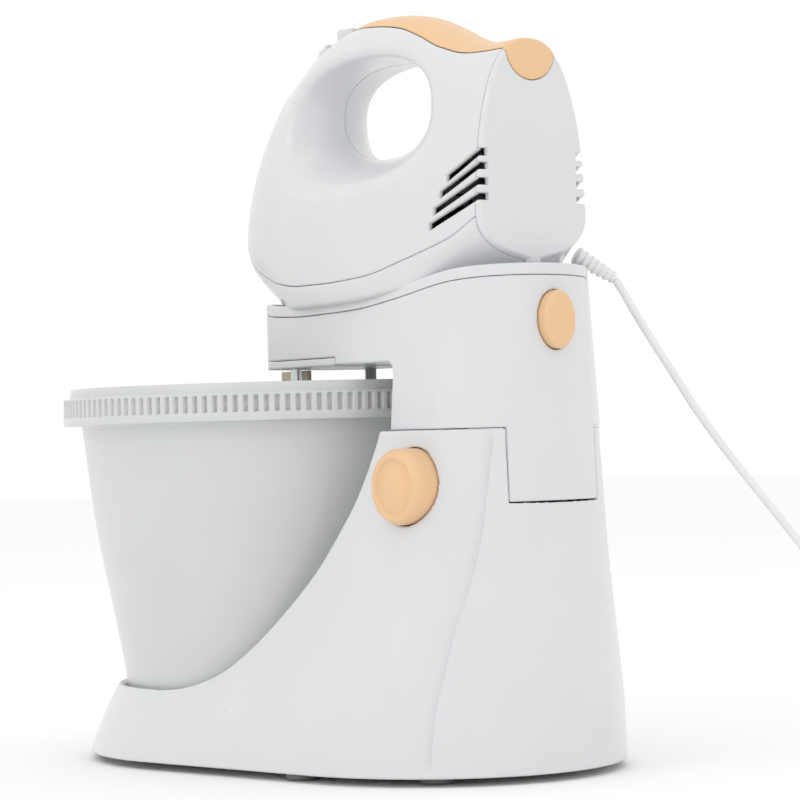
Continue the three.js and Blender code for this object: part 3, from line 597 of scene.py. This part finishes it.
# ---------------------------------------------------------------- the mixer's body
# Heights and half-widths along the mixer, from its nose to its heel.
seam_height = through(
    (-6, 229.5), (5, 224), (15, 218.5), (27, 213.5), (40, 210), (60, 208), (75, 208), (105, 209.5),
    (129, 214.5), (155, 222), (170, 230.5), (176, 233),
)
crown_height = through(
    (-6, 286), (4, 288), (15, 292.5), (28, 302.5), (43, 312.8), (50, 316), (60, 319.6), (70, 322.2),
    (82, 323.9), (97, 323.4), (109, 321.6), (123, 316.6), (134, 311.4), (144, 307.4), (155, 304.8),
    (168, 304.8), (176, 304.6),
)
body_half = through((-6, 29.5), (27, 30.6), (60, 36), (100, 38), (140, 36), (170, 30), (176, 29))
keel_top = through(
    (-6, 233), (10, 230), (24, 225), (36, 217), (48, 211), (60, 208.3), (75, 208), (105, 209.5),
    (129, 214.5), (155, 222), (170, 230.5), (176, 233),
)
grip_edge = through(
    (14, 294), (28, 305.4), (43, 314.6), (60, 318.9), (75, 319.6), (90, 318.6), (107, 315.8),
    (120, 311), (134, 304.5), (150, 300.3), (162, 300), (176, 300.5),
)
KEEL_RADIUS = 27.0


def draw_in(drop):
    """How far the lower shell's side has curved in, this far below the seam."""
    arc = KEEL_RADIUS - np.sqrt(KEEL_RADIUS**2 - np.minimum(drop, 25.5) ** 2)
    return arc + np.maximum(drop - 25.5, 0) * 2.5


def mixer_body(x, y, z):
    """The mixer's outer form without its openings: a rounded crown on a curved-in keel."""
    seam = seam_height(y)
    crown = crown_height(y)
    half = body_half(y)
    heel = np.clip((y - 130) / 40, 0, 1)
    drop = np.maximum(keel_top(y) - z, 0) * (1 + 0.6 * heel * heel * (3 - 2 * heel))
    side = np.maximum(half - draw_in(drop), 4.0)
    nose_radius = np.maximum(32.0 - draw_in(np.maximum(232.0 - z, 0)), 4.0)
    rise = np.maximum(z - seam, 0) / (crown - seam)
    ahead = np.maximum(27.0 - y, 0) / nose_radius
    u = np.abs(x) / side
    level = u**2.5 + rise**2 + ahead**2 - 1
    slope = np.sqrt(
        (2.5 * u**1.5 / side) ** 2 + (2 * rise / (crown - seam)) ** 2 + (2 * ahead / nose_radius) ** 2
    )
    away = level / np.maximum(slope, 0.012)
    steep = np.minimum(drop, 25.0) / np.sqrt(KEEL_RADIUS**2 - np.minimum(drop, 25.0) ** 2)
    return away / np.sqrt(1 + steep**2)


def finger_opening(x, y, z):
    """The hole under the handle, narrowest in the middle and flared to both flanks."""
    flare = np.minimum((np.abs(x) / 30.0) ** 2, 1.3)
    y0, y1 = 49.0 - 21 * flare, 123.4 + 21 * flare
    z0, z1 = 262.5 - 11 * flare, 303.3 + 4.0 * flare
    long_half, tall_half = (y1 - y0) / 2, (z1 - z0) / 2
    u = np.abs(y - (y0 + y1) / 2) / long_half
    v = np.abs(z - (z0 + z1) / 2) / tall_half
    size = (u**2.4 + v**2.4) ** (1 / 2.4) + 1e-6
    slope = np.sqrt((u**1.4 / long_half) ** 2 + (v**1.4 / tall_half) ** 2) / size**1.4
    return (size - 1) / np.maximum(slope, 0.012)


# Each vent slot's front end, the height of its middle line there, and how steeply it climbs.
VENTS = [(154.5, 246.8, 0.62), (151.2, 240.3, 0.56), (148.2, 233.6, 0.50), (146.0, 227.4, 0.455)]
VENT_HALF = 1.3
VENT_INNER_X = 24.5
VENT_CORNER_Y = 170.5


def vents(x, y, z):
    """Slanting slots on each flank that turn the corner on to the rear plate."""
    slots = []
    for front, height, slope in VENTS:
        line = height + (np.minimum(y, VENT_CORNER_Y) - front) * slope
        off = np.abs(z - line) * math.cos(math.atan(slope)) - VENT_HALF
        slots.append(np.maximum(np.maximum(off, front - y), VENT_INNER_X - np.abs(x)))
    return np.minimum(np.minimum(slots[0], slots[1]), np.minimum(slots[2], slots[3]))


def mixer_outer(x, y, z):
    """The mixer's outer form with its finger opening and vents."""
    body = both(mixer_body(x, y, z), y - PLATE_BACK, 1.6)
    body = without(body, finger_opening(x, y, z), 5.0)
    return without(body, vents(x, y, z), 1.0)


def mixer_room(x, y, z):
    """What lies within the mixer's walls and ahead of its rear plate."""
    return np.maximum(mixer_body(x, y, z) + SHELL_WALL, y - 170.2)


def mixer_inside(x, y, z):
    """The cavity within the two housings, which goes round the finger opening."""
    return np.maximum(mixer_room(x, y, z), SHELL_WALL - finger_opening(x, y, z))


def keys(x, y, z):
    """The slots that the two thumb keys stand in."""
    across = np.abs(x) - 5.35
    selector = np.maximum(np.maximum(across, 49.6 - y), y - 68.4)
    eject = np.maximum(np.maximum(across, 36.4 - y), y - 43.7)
    return np.minimum(np.maximum(selector, 306.6 - z), np.maximum(eject, 296.0 - z))


def housing(x, y, z, side):
    """One half of the mixer's shell; side is 1 for the left half and -1 for the right."""
    body = without(mixer_outer(x, y, z), mixer_inside(x, y, z))
    body = both(body, seam_height(y) + 0.12 - z, 0.25)
    body = both(body, z - (grip_edge(y) - 0.15), 0.35)
    body = both(body, y - SHELL_BACK, 0.35)
    body = without(body, keys(x, y, z), 0.3)
    return both(body, 0.06 - side * x, 0.08)


def grip(x, y, z):
    """The coloured strip along the top of the handle."""
    body = without(mixer_outer(x, y, z), mixer_body(x, y, z) + 3.2)
    body = both(body, grip_edge(y) + 0.15 - z, 0.35)
    body = both(body, y - SHELL_BACK, 0.35)
    return without(body, keys(x, y, z), 0.3)


def motor_housing(x, y, z):
    """The mixer's lower shell, which sits down inside the lip of the arm's cover."""
    lip = lip_height(y)
    body = both(mixer_outer(x, y, z), z - (seam_height(y) - 0.12), 0.25)
    body = both(body, y - SHELL_BACK, 0.35)
    floor = np.where(y < 23.5, np.maximum(lip + 0.4, 201.0), lip - 1.9)
    body = both(body, floor - z, 1.2)
    body = without(body, np.maximum(mixer_room(x, y, z), floor + 2.4 - z))
    return without(body, spindle_holes(x, y, z, 5.5))


def cap_outline(x, y, z):
    """The tongue shape of the rear cap: straight sides above, half an ellipse below."""
    return ellipse(x, np.minimum(z - 300.0, 0), 13.4, 12.6) + 0 * y


def rear_plate(x, y, z):
    """The plate across the mixer's heel."""
    body = both(mixer_outer(x, y, z), PLATE_FRONT - y, 0.2)
    body = both(body, 211.5 - z, 1.0)
    return without(body, cap_outline(x, y, z), 0.4)


def rear_cap(x, y, z):
    """The coloured cap let into the top of the rear plate."""
    body = both(mixer_outer(x, y, z) - 0.25, PLATE_FRONT - y, 0.2)
    return both(body, cap_outline(x, y, z) + 0.25, 0.5)


# ---------------------------------------------------------------- pieces
def make_base(looks):
    low = (-89, -89, 3)
    high = (89, 187.5, BASE_TOP + 0.5)
    body = solid("base_body", base_shell, low, high, looks["white"], "base", 0.78)
    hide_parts("base_shell")


def make_arm(looks):
    """The arm's shell, the cover on top of it and the plate under its beam."""
    shell = solid("arm_body", arm_shell, (-43, 18, 113), (43, 186, 208), looks["white"], "arm", 0.6)
    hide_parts("arm_shell")
    cover = solid("arm_lip", arm_cover, (-37, 18, 194), (37, 184, 213), looks["white"], "arm", 0.5)
    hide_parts("arm_top_cover")
    under = solid("arm_under", arm_plate, (-33, 16, 172), (33, 79, 177), looks["white"], "arm", 0.5)
    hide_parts("arm_bottom_plate")


def make_mixer(looks):
    """The mixer's two housings, grip, lower shell, rear plate and cap."""
    def left(x, y, z):
        return housing(x, y, z, 1)

    def right(x, y, z):
        return housing(x, y, z, -1)

    for name, field, x_low, x_high in (("left", left, -1, 39), ("right", right, -39, 1)):
        low = (x_low, -7, 206)
        high = (x_high, 171, 324)
        half = solid(f"shell_{name}", field, low, high, looks["white"], "arm", 0.6)
        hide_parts(f"housing_{name}")
    top = solid("grip", grip, (-27, 12, 290), (27, 171, 325), looks["peach"], "arm", 0.5)
    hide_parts("handle_grip")
    low = (-39, -7, 196)
    high = (39, 171, 232)
    lower = solid("lower_shell", motor_housing, low, high, looks["white"], "arm", 0.55)
    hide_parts("motor_housing")
    low = (-31.5, 169, 210)
    high = (31.5, 174, 308)
    rear = solid("heel_plate", rear_plate, low, high, looks["white"], "arm", 0.45)
    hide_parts("rear_plate")
    cap = solid("heel_cap", rear_cap, (-15, 169, 286), (15, 174, 308), looks["peach"], "arm", 0.4)
    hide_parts("rear_cap")


def make_keys(looks):
    """The speed selector and the eject button, on top of the handle's front end."""
    def selector(x, y, z):
        body = block(x, y, z, (-5, 50, 308), (5, 62, 323.2), 1.6)
        dish = np.sqrt(x**2 + (z - 352) ** 2) - 29.6
        return without(body, dish + 0 * y, 0.5)

    def eject(x, y, z):
        slope = z - 317.6 - (y - 43.0) * 0.55
        return both(block(x, y, z, (-5, 36.8, 304), (5, 43.3, 319), 1.0), slope, 1.0)

    low = (-5, 50, 308)
    high = (5, 62, 323)
    made = solid("selector_key", selector, low, high, looks["white"], "speed_selector", 0.35)
    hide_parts("speed_selector")
    low = (-5, 36.8, 304)
    high = (5, 43.4, 319)
    made = solid("eject_key", eject, low, high, looks["white"], "eject_button", 0.35)
    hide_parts("eject_button")


def make_buttons(looks):
    """The round tilt button with its raised ring and dome, and the dished release button."""
    face = 55.2
    edge = [(0, 31), (11.5, 31), (11.5, 36), (15.7, 36), (15.7, face - 2.6), (13.9, face - 0.1)]
    edge += [(11.8, face), (10.9, face - 1.1)]
    dome = [(r, face - 1.3 + 2.0 * (1 - (r / 10.6) ** 2)) for r in np.linspace(10.4, 0, 14)]
    profile = rounded(edge, 1.2) + dome
    place = (TILT_BUTTON_Y, TILT_BUTTON_Z)
    made = lathe("tilt_key", profile, looks["peach"], "tilt_release", 96, place)
    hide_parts("tilt_button")

    def release(x, y, z):
        rise = z - RELEASE_Z
        body = both(ellipse(x, rise, 8.5, 12.0), y - 187.4, 1.4)
        body = both(body, 176.2 - y)
        dish = np.sqrt(x**2 + (y - 200.2) ** 2 + (rise * 0.72) ** 2) - 14.4
        return without(body, dish, 0.35)

    low = (-9, 176, 175)
    high = (9, 188, 201)
    made = solid("release_key", release, low, high, looks["peach"], "mixer_release", 0.35)
    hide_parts("mixer_release_button")


BOWL_WALL = through(
    (31.4, 74.6), (42, 75.8), (50, 77.3), (68, 80.5), (87, 84.2), (105, 87.3), (123, 89.6),
    (149.6, 92.6),
)
RIM_RIBS = 140
RIB_DEPTH = 2.2


def bowl_profile():
    """The bowl's cut outline, from under its middle, out and over the rim, and back inside."""
    up = np.linspace(33, 148.5, 18)
    outside = [(r, h) for r, h in zip(BOWL_WALL(up), up)]
    inside = [(r - 2.2, h + 0.3) for r, h in outside][::-1]
    ribs = [(100.7, h) for h in (153.7, 154.3, 157.5, 160.6, 161.2)]
    foot = [(0, 38), (69, 38), (70.4, 31.3), (74.2, 31.3), outside[0]]
    under_rim = [outside[-1], (93.2, 150.0), (101.0, 150.0), (101.0, 153.2), ribs[0]]
    over_rim = [ribs[-1], (100.7, 162.0), (97.9, 162.4), (97.4, 166.5), (95.2, 166.5), (94.6, 153.2)]
    over_rim += [inside[0]]
    floor = [inside[-1], (68.5, 40.6), (0, 40.6)]
    profile = rounded(foot, 0.8) + outside[1:]
    profile += rounded(under_rim, 0.7) + ribs
    profile += rounded(over_rim, 0.7) + inside[1:]
    return np.array(profile + rounded(floor, 3.0), float)


def make_bowl(looks):
    """The bowl with its ribbed rim, and the turntable under it."""
    profile = bowl_profile()
    per = 8
    sides = RIM_RIBS * per
    turn = np.linspace(0, 2 * np.pi, sides, endpoint=False)
    inner_start = int(np.argmax(profile[:, 1]))
    index = np.arange(len(profile))
    in_ribs = (profile[:, 1] > 153.9) & (profile[:, 1] < 161.0) & (index < inner_start)
    valley = (np.arange(sides) % per) >= per // 2 + 1
    radius = profile[:, 0][None, :] - RIB_DEPTH * in_ribs[None, :] * valley[:, None]
    points = np.stack(
        [
            radius * np.cos(turn)[:, None],
            radius * np.sin(turn)[:, None],
            np.broadcast_to(profile[:, 1][None, :], radius.shape),
        ],
        -1,
    ).reshape(-1, 3)
    count = len(profile)
    i = np.arange(sides)[:, None]
    k = np.arange(count - 1)[None, :]
    j = (i + 1) % sides
    quads = np.stack([i * count + k, j * count + k, j * count + k + 1, i * count + k + 1], -1)
    made = big_mesh("mixing_bowl", points, quads.reshape(-1, 4), looks["bowl"], "bowl_turntable")
    tidy(made)
    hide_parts("bowl")
    disc = rounded([(4.4, 27.4), (75.2, 27.4), (75.2, 30.2), (74.2, 31.0), (4.4, 31.0), (4.4, 27.4)], 0.4)
    made = lathe("turn_disc", disc, looks["white"], "bowl_turntable", 160)
    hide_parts("turntable")


def strip(path, across, wide, thick):
    """Points and faces of a flat bar bent along a path, wide across it, with round edges."""
    path = np.array(path, float)
    along = np.gradient(path, axis=0)
    along /= np.linalg.norm(along, axis=1)[:, None]
    across = np.array(across, float)
    out = np.cross(along, across)
    out /= np.linalg.norm(out, axis=1)[:, None]
    ring = 12
    turn = np.linspace(0, 2 * np.pi, ring, endpoint=False)
    c = np.sign(np.cos(turn)) * np.abs(np.cos(turn)) ** 0.6
    s = np.sign(np.sin(turn)) * np.abs(np.sin(turn)) ** 0.6
    points = (
        path[:, None, :]
        + across[None, None, :] * (wide / 2 * c)[None, :, None]
        + out[:, None, :] * (thick / 2 * s)[None, :, None]
    )
    return points.reshape(-1, 3), ring_faces(len(path), ring)


# How far a beater's wire stands from its shaft and how high it is, from the tip to the collar.
wire_reach = through(
    (0, 0.8), (0.08, 7), (0.2, 15.5), (0.34, 18.6), (0.5, 18.2), (0.7, 15), (0.88, 8.6), (1, 0.9),
)
wire_height = through(
    (0, 51.3), (0.08, 51.6), (0.2, 56), (0.34, 67), (0.5, 84), (0.7, 106), (0.88, 123), (1, 130.5),
)


def beater_wire(x0, y0, turn):
    """One of a beater's four flat wires, which stands out at the angle turn."""
    share = np.linspace(0, 1, 48)
    out = wire_reach(share)
    path = np.stack([x0 + out * math.cos(turn), y0 + out * math.sin(turn), wire_height(share)], -1)
    return strip(path, (-math.sin(turn), math.cos(turn), 0), 5.0, 1.3)


def beater_shaft(x0, y0):
    """A beater's shaft, with a collar where the wires meet it at either end."""
    rows = 60
    ring = 24
    line = np.linspace(48, 219.8, rows)
    tip = 1.4 * np.exp(-(((line - 52) / 3.0) ** 4))
    collar = 1.4 * np.exp(-(((line - 131) / 3.0) ** 4))
    radius = (2.35 + tip + collar)[:, None]
    turn = np.linspace(0, 2 * np.pi, ring, endpoint=False)
    height = np.broadcast_to(line[:, None], (rows, ring))
    points = np.stack([x0 + radius * np.cos(turn), y0 + radius * np.sin(turn), height], -1)
    return points.reshape(-1, 3), ring_faces(rows, ring)


def make_beaters(looks):
    """Two wire beaters, the right one an eighth of a turn on so that their wires pass."""
    for name, x0, offset in (("left", SPINDLE_X, 0), ("right", -SPINDLE_X, math.pi / 4)):
        parts = [beater_wire(x0, SPINDLE_Y, math.pi / 2 * i + offset) for i in range(4)]
        parts.append(beater_shaft(x0, SPINDLE_Y))
        faces = []
        start = 0
        for points, more in parts:
            faces.extend(tuple(v + start for v in face) for face in more)
            start += len(points)
        points = np.concatenate([part[0] for part in parts])
        made = make_mesh(f"whisk_{name}", points, faces, looks["steel"], f"beater_{name}")
        tidy(made)
        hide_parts(f"beater_{name}")


def make_scraper(looks):
    """The thin upright blade that hangs from the beam, ahead of the beaters' shafts."""
    def blade(x, y, z):
        body = np.maximum(5.5 - y, y - 25.5)
        body = np.maximum(body, np.maximum(121 + (24 - y) * 0.6 - z, z - 172.5))
        return both(both(body, 4.1 - x, 0.4), x - 6.1, 0.4)

    made = solid("scraper", blade, (3, 4, 118), (8, 27, 174), looks["natural"], "arm", 0.4)
    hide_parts("bowl_scraper")


# ---------------------------------------------------------------- mains lead
LEAD_WIDTH = 3.4
RELIEF_FROM = np.array([-34.4, 160.0, 216.6])
RELIEF_TO = np.array([-49.6, 166.8, 206.8])
HEADING = np.array([-0.795, 0.606])
# How far out from the relief the lead is, along its heading, and how high it is there.
LEAD_DROP = [
    (0.6, 206.2), (3.6, 201.3), (7.9, 193.4), (14.9, 181.3), (22.6, 168.6), (35.3, 147.8),
    (50, 127), (64, 108.7), (78, 90.3), (92, 71.9), (106, 53.5), (120, 35), (132, 19.2),
    (139.7, 9), (143.7, 5.2), (148.6, 2.7), (155, 1.9),
]
# The coil starts this far out along the heading, and lies in lanes of these two radii.
COIL_REACH = 162.0
COIL_OUTER = 21.3
COIL_INNER = 17.7
COIL_LAPS = 7
FLOOR_HEIGHT = 1.9
# The coil's lanes in the order that the lead fills them: radius, and how many leads up.
COIL_LANES = [
    (COIL_OUTER, 0), (COIL_INNER, 0), (COIL_INNER, 1), (COIL_OUTER, 1),
    (COIL_OUTER, 2), (COIL_INNER, 2), (COIL_INNER, 3), (COIL_OUTER, 3),
]
PLUG_HEIGHT = 7.1


def spline(points, per):
    """A smooth line through points, with per steps from each point to the next."""
    points = np.array(points, float)
    first = 2 * points[0] - points[1]
    last = 2 * points[-1] - points[-2]
    points = np.concatenate([[first], points, [last]])
    out = []
    for a, b, c, d in zip(points, points[1:], points[2:], points[3:]):
        for t in np.linspace(0, 1, per, endpoint=False):
            bend = (2 * a - 5 * b + 4 * c - d) * t * t
            twist = (3 * b - a - 3 * c + d) * t**3
            out.append(0.5 * (2 * b + (c - a) * t + bend + twist))
    out.append(points[-2])
    return np.array(out)


def coil_lane(gone):
    """The coil's radius and row after turning through gone radians."""
    end = 2 * math.pi - 0.3
    lap = math.radians(300)
    change = math.radians(55)
    k = 0
    while k + 1 < len(COIL_LANES) and gone > end:
        k += 1
        end += lap
    if k + 1 == len(COIL_LANES) or gone <= end - change:
        return COIL_LANES[k]
    share = (gone - (end - change)) / change
    share = share * share * (3 - 2 * share)
    return tuple(a * (1 - share) + b * share for a, b in zip(COIL_LANES[k], COIL_LANES[k + 1]))


def lead_path():
    """The lead's middle line: down to the table, round the coil, and into the plug."""
    run = [(*(RELIEF_TO[:2] + HEADING * out), height) for out, height in LEAD_DROP]
    left = np.array([-HEADING[1], HEADING[0]])
    centre = RELIEF_TO[:2] + HEADING * COIL_REACH + left * COIL_OUTER
    angle = math.atan2(-left[1], -left[0])
    last = 2 * math.pi * COIL_LAPS + math.pi - angle
    steps = int(last / math.radians(9))
    turns = []
    for i in range(steps + 1):
        gone = last * i / steps
        radius, row = coil_lane(gone)
        x = centre[0] + radius * math.cos(angle + gone)
        y = centre[1] + radius * math.sin(angle + gone)
        turns.append((x, y, FLOOR_HEIGHT + LEAD_WIDTH * row))
    plug_x = centre[0] - COIL_OUTER
    plug_y = centre[1] - 24
    top = turns[-1][2]
    tail = [
        (plug_x, centre[1] - 6, top - 0.4),
        (plug_x, centre[1] - 12, top - 2.2),
        (plug_x, centre[1] - 18, 8.0),
        (plug_x, plug_y - 1.0, PLUG_HEIGHT),
    ]
    return run, turns, tail, (plug_x, plug_y)


def tube(name, path, width, material, body, sides=20):
    """A round tube along a path, its section carried along without twisting."""
    path = np.array(path, float)
    along = np.gradient(path, axis=0)
    along /= np.linalg.norm(along, axis=1)[:, None]
    side = np.cross(along[0], (0.3, 0.2, 0.9))
    side /= np.linalg.norm(side)
    sides_at = []
    for t in along:
        side = side - t * np.dot(side, t)
        side /= np.linalg.norm(side)
        sides_at.append(side)
    sides_at = np.array(sides_at)
    up = np.cross(along, sides_at)
    turn = np.linspace(0, 2 * np.pi, sides, endpoint=False)
    points = (
        path[:, None, :]
        + sides_at[:, None, :] * (width / 2 * np.cos(turn))[None, :, None]
        + up[:, None, :] * (width / 2 * np.sin(turn))[None, :, None]
    ).reshape(-1, 3)
    made = make_mesh(name, points, ring_faces(len(path), sides), material, body)
    tidy(made)
    return made


def make_lead(looks):
    """The mains lead, from the arm down to the table, with its coil and plug."""
    run, turns, tail, plug = lead_path()
    path = np.concatenate([spline(run, 6)[:-1], spline([run[-1], *turns, *tail], 4)])
    made = tube("lead", path, LEAD_WIDTH, looks["lead"], None)
    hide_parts("mains_lead", "lead_coil")
    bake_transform(made)
    tip = make_plug(looks, plug)


def make_plug(looks, place):
    """A round two-pin plug that lies beside the coil, on the end of the lead."""
    x0, y0 = place
    taper = through((y0 - 34, 6.9), (y0 - 20, 6.9), (y0 - 8, 5.4), (y0, 4.2))

    def body(x, y, z):
        across = x - x0
        rise = z - PLUG_HEIGHT
        flats = block(across, 0 * y, rise, (-9, -1, -9), (9, 1, 9))
        shape = both(flats, np.hypot(across, rise) - taper(y), 0.5)
        shape = both(shape, y - y0, 1.0)
        shape = both(shape, y0 - 34 - y, 1.2)
        pins = np.sqrt((np.abs(across) - 4.6) ** 2 + (z - 7.0) ** 2) - 2.0
        pins = both(np.maximum(pins, y - (y0 - 32)), y0 - 53 - y, 1.2)
        return np.minimum(shape, pins)

    made = solid("plug", body, (x0 - 8, y0 - 53.5, 0), (x0 + 8, y0 + 1, 15), looks["lead"], "base", 0.45)
    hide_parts("mains_plug")
    return made


def make_springs(looks):
    """The two return springs of the tilt button and the release button."""
    turn = np.linspace(0, 8 * np.pi, 97)
    share = turn / turn[-1]
    y = TILT_BUTTON_Y + 4 * np.cos(turn)
    z = TILT_BUTTON_Z + 4 * np.sin(turn)
    tilt = np.stack([2 + 9.4 * share, y, z], -1)
    made = tube("key_spring", tilt, 1.0, looks["steel"], "base", 10)
    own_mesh(made)
    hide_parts("tilt_spring")
    z = RELEASE_Z + 3.4 * np.sin(turn)
    release = np.stack([3.4 * np.cos(turn), 140 + 14 * share, z], -1)
    made = tube("catch_spring", release, 0.9, looks["steel"], "arm", 10)
    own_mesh(made)
    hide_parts("mixer_release_spring")


def make_relief(looks):
    """A tapered, ribbed sleeve where the lead leaves the mixer's heel."""
    along = RELIEF_TO - RELIEF_FROM
    length = float(np.linalg.norm(along))
    along = along / length
    side = np.cross(along, (0, 0, 1))
    side /= np.linalg.norm(side)
    up = np.cross(side, along)
    count = 90
    s = np.linspace(0, length, count)
    rib = 0.5 + 0.5 * np.tanh(4 * np.sin(2 * np.pi * s / (length / 6.5) - 0.6))
    radius = (4.15 - 1.55 * s / length) * (0.80 + 0.20 * rib)
    ring = 40
    turn = np.linspace(0, 2 * np.pi, ring, endpoint=False)
    points = (
        RELIEF_FROM
        + along * s[:, None, None]
        + side * (radius[:, None] * np.cos(turn))[:, :, None]
        + up * (radius[:, None] * np.sin(turn))[:, :, None]
    ).reshape(-1, 3)
    made = make_mesh("relief", points, ring_faces(count, ring), looks["lead"], "arm")
    tidy(made)
    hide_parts("strain_relief")


# ---------------------------------------------------------------- carried-over CAD pieces
# The look of each CAD piece that has no finer mesh, by how its name starts.
CARRIED_OVER = {
    "rubber": ["foot_"],
    "steel": ["plate_screw", "arm_screw", "hinge_pin", "turntable_axle", "front_bearing", "rear_bearing"],
    "iron": ["motor_stator", "motor_rotor"],
    "copper": ["commutator"],
    "grey": ["cooling_fan", "arm_rest_peg"],
    "dark": ["tilt_latch", "mixer_release_catch", "brush_", "switch_block"],
    "natural": ["drive_gear", "idler_gear", "bowl_pinion", "spindle_"],
    "white": ["base_bottom_plate"],
}


def dress(looks):
    """Gives each carried-over CAD piece its material."""
    for name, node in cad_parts.items():
        for look, starts in CARRIED_OVER.items():
            if name.startswith(tuple(starts)):
                node.data.materials.clear()
                node.data.materials.append(looks[look])


def make_looks():
    """Every material, by the short name that the pieces ask for."""
    return {
        "white": plastic("white_moulding", (0.685, 0.695, 0.71), 0.26, 0.012, 30, 0.015, 0.2),
        "bowl": plastic("bowl_moulding", (0.62, 0.64, 0.63), 0.30, 0.012, 30, 0.015, 0.15),
        "peach": plastic("peach_moulding", (0.80, 0.52, 0.285), 0.36, 0.015, 40, 0.03),
        "grey": plastic("grey_moulding", (0.27, 0.28, 0.29), 0.5, 0.03, 80, 0.05),
        "dark": plastic("dark_moulding", (0.02, 0.02, 0.022), 0.55, 0.05, 80, 0.05),
        "natural": plastic("natural_nylon", (0.50, 0.46, 0.32), 0.42, 0.03, 60, 0.04),
        "rubber": plastic("foot_rubber", (0.22, 0.225, 0.23), 0.8, 0.05, 120, 0.1),
        "lead": plastic("lead_vinyl", (0.78, 0.79, 0.80), 0.42, 0.02, 90, 0.03),
        "steel": metal("bright_steel", (0.72, 0.73, 0.75), 0.22),
        "iron": metal("dark_iron", (0.20, 0.21, 0.22), 0.5),
        "copper": metal("copper", (0.72, 0.38, 0.22), 0.35),
    }


def main():
    looks = make_looks()
    make_camera()
    make_lead(looks)
    make_stage()
    make_relief(looks)
    make_springs(looks)
    make_base(looks)
    make_arm(looks)
    make_mixer(looks)
    make_keys(looks)
    make_buttons(looks)
    make_bowl(looks)
    make_beaters(looks)
    make_scraper(looks)
    dress(looks)


main()
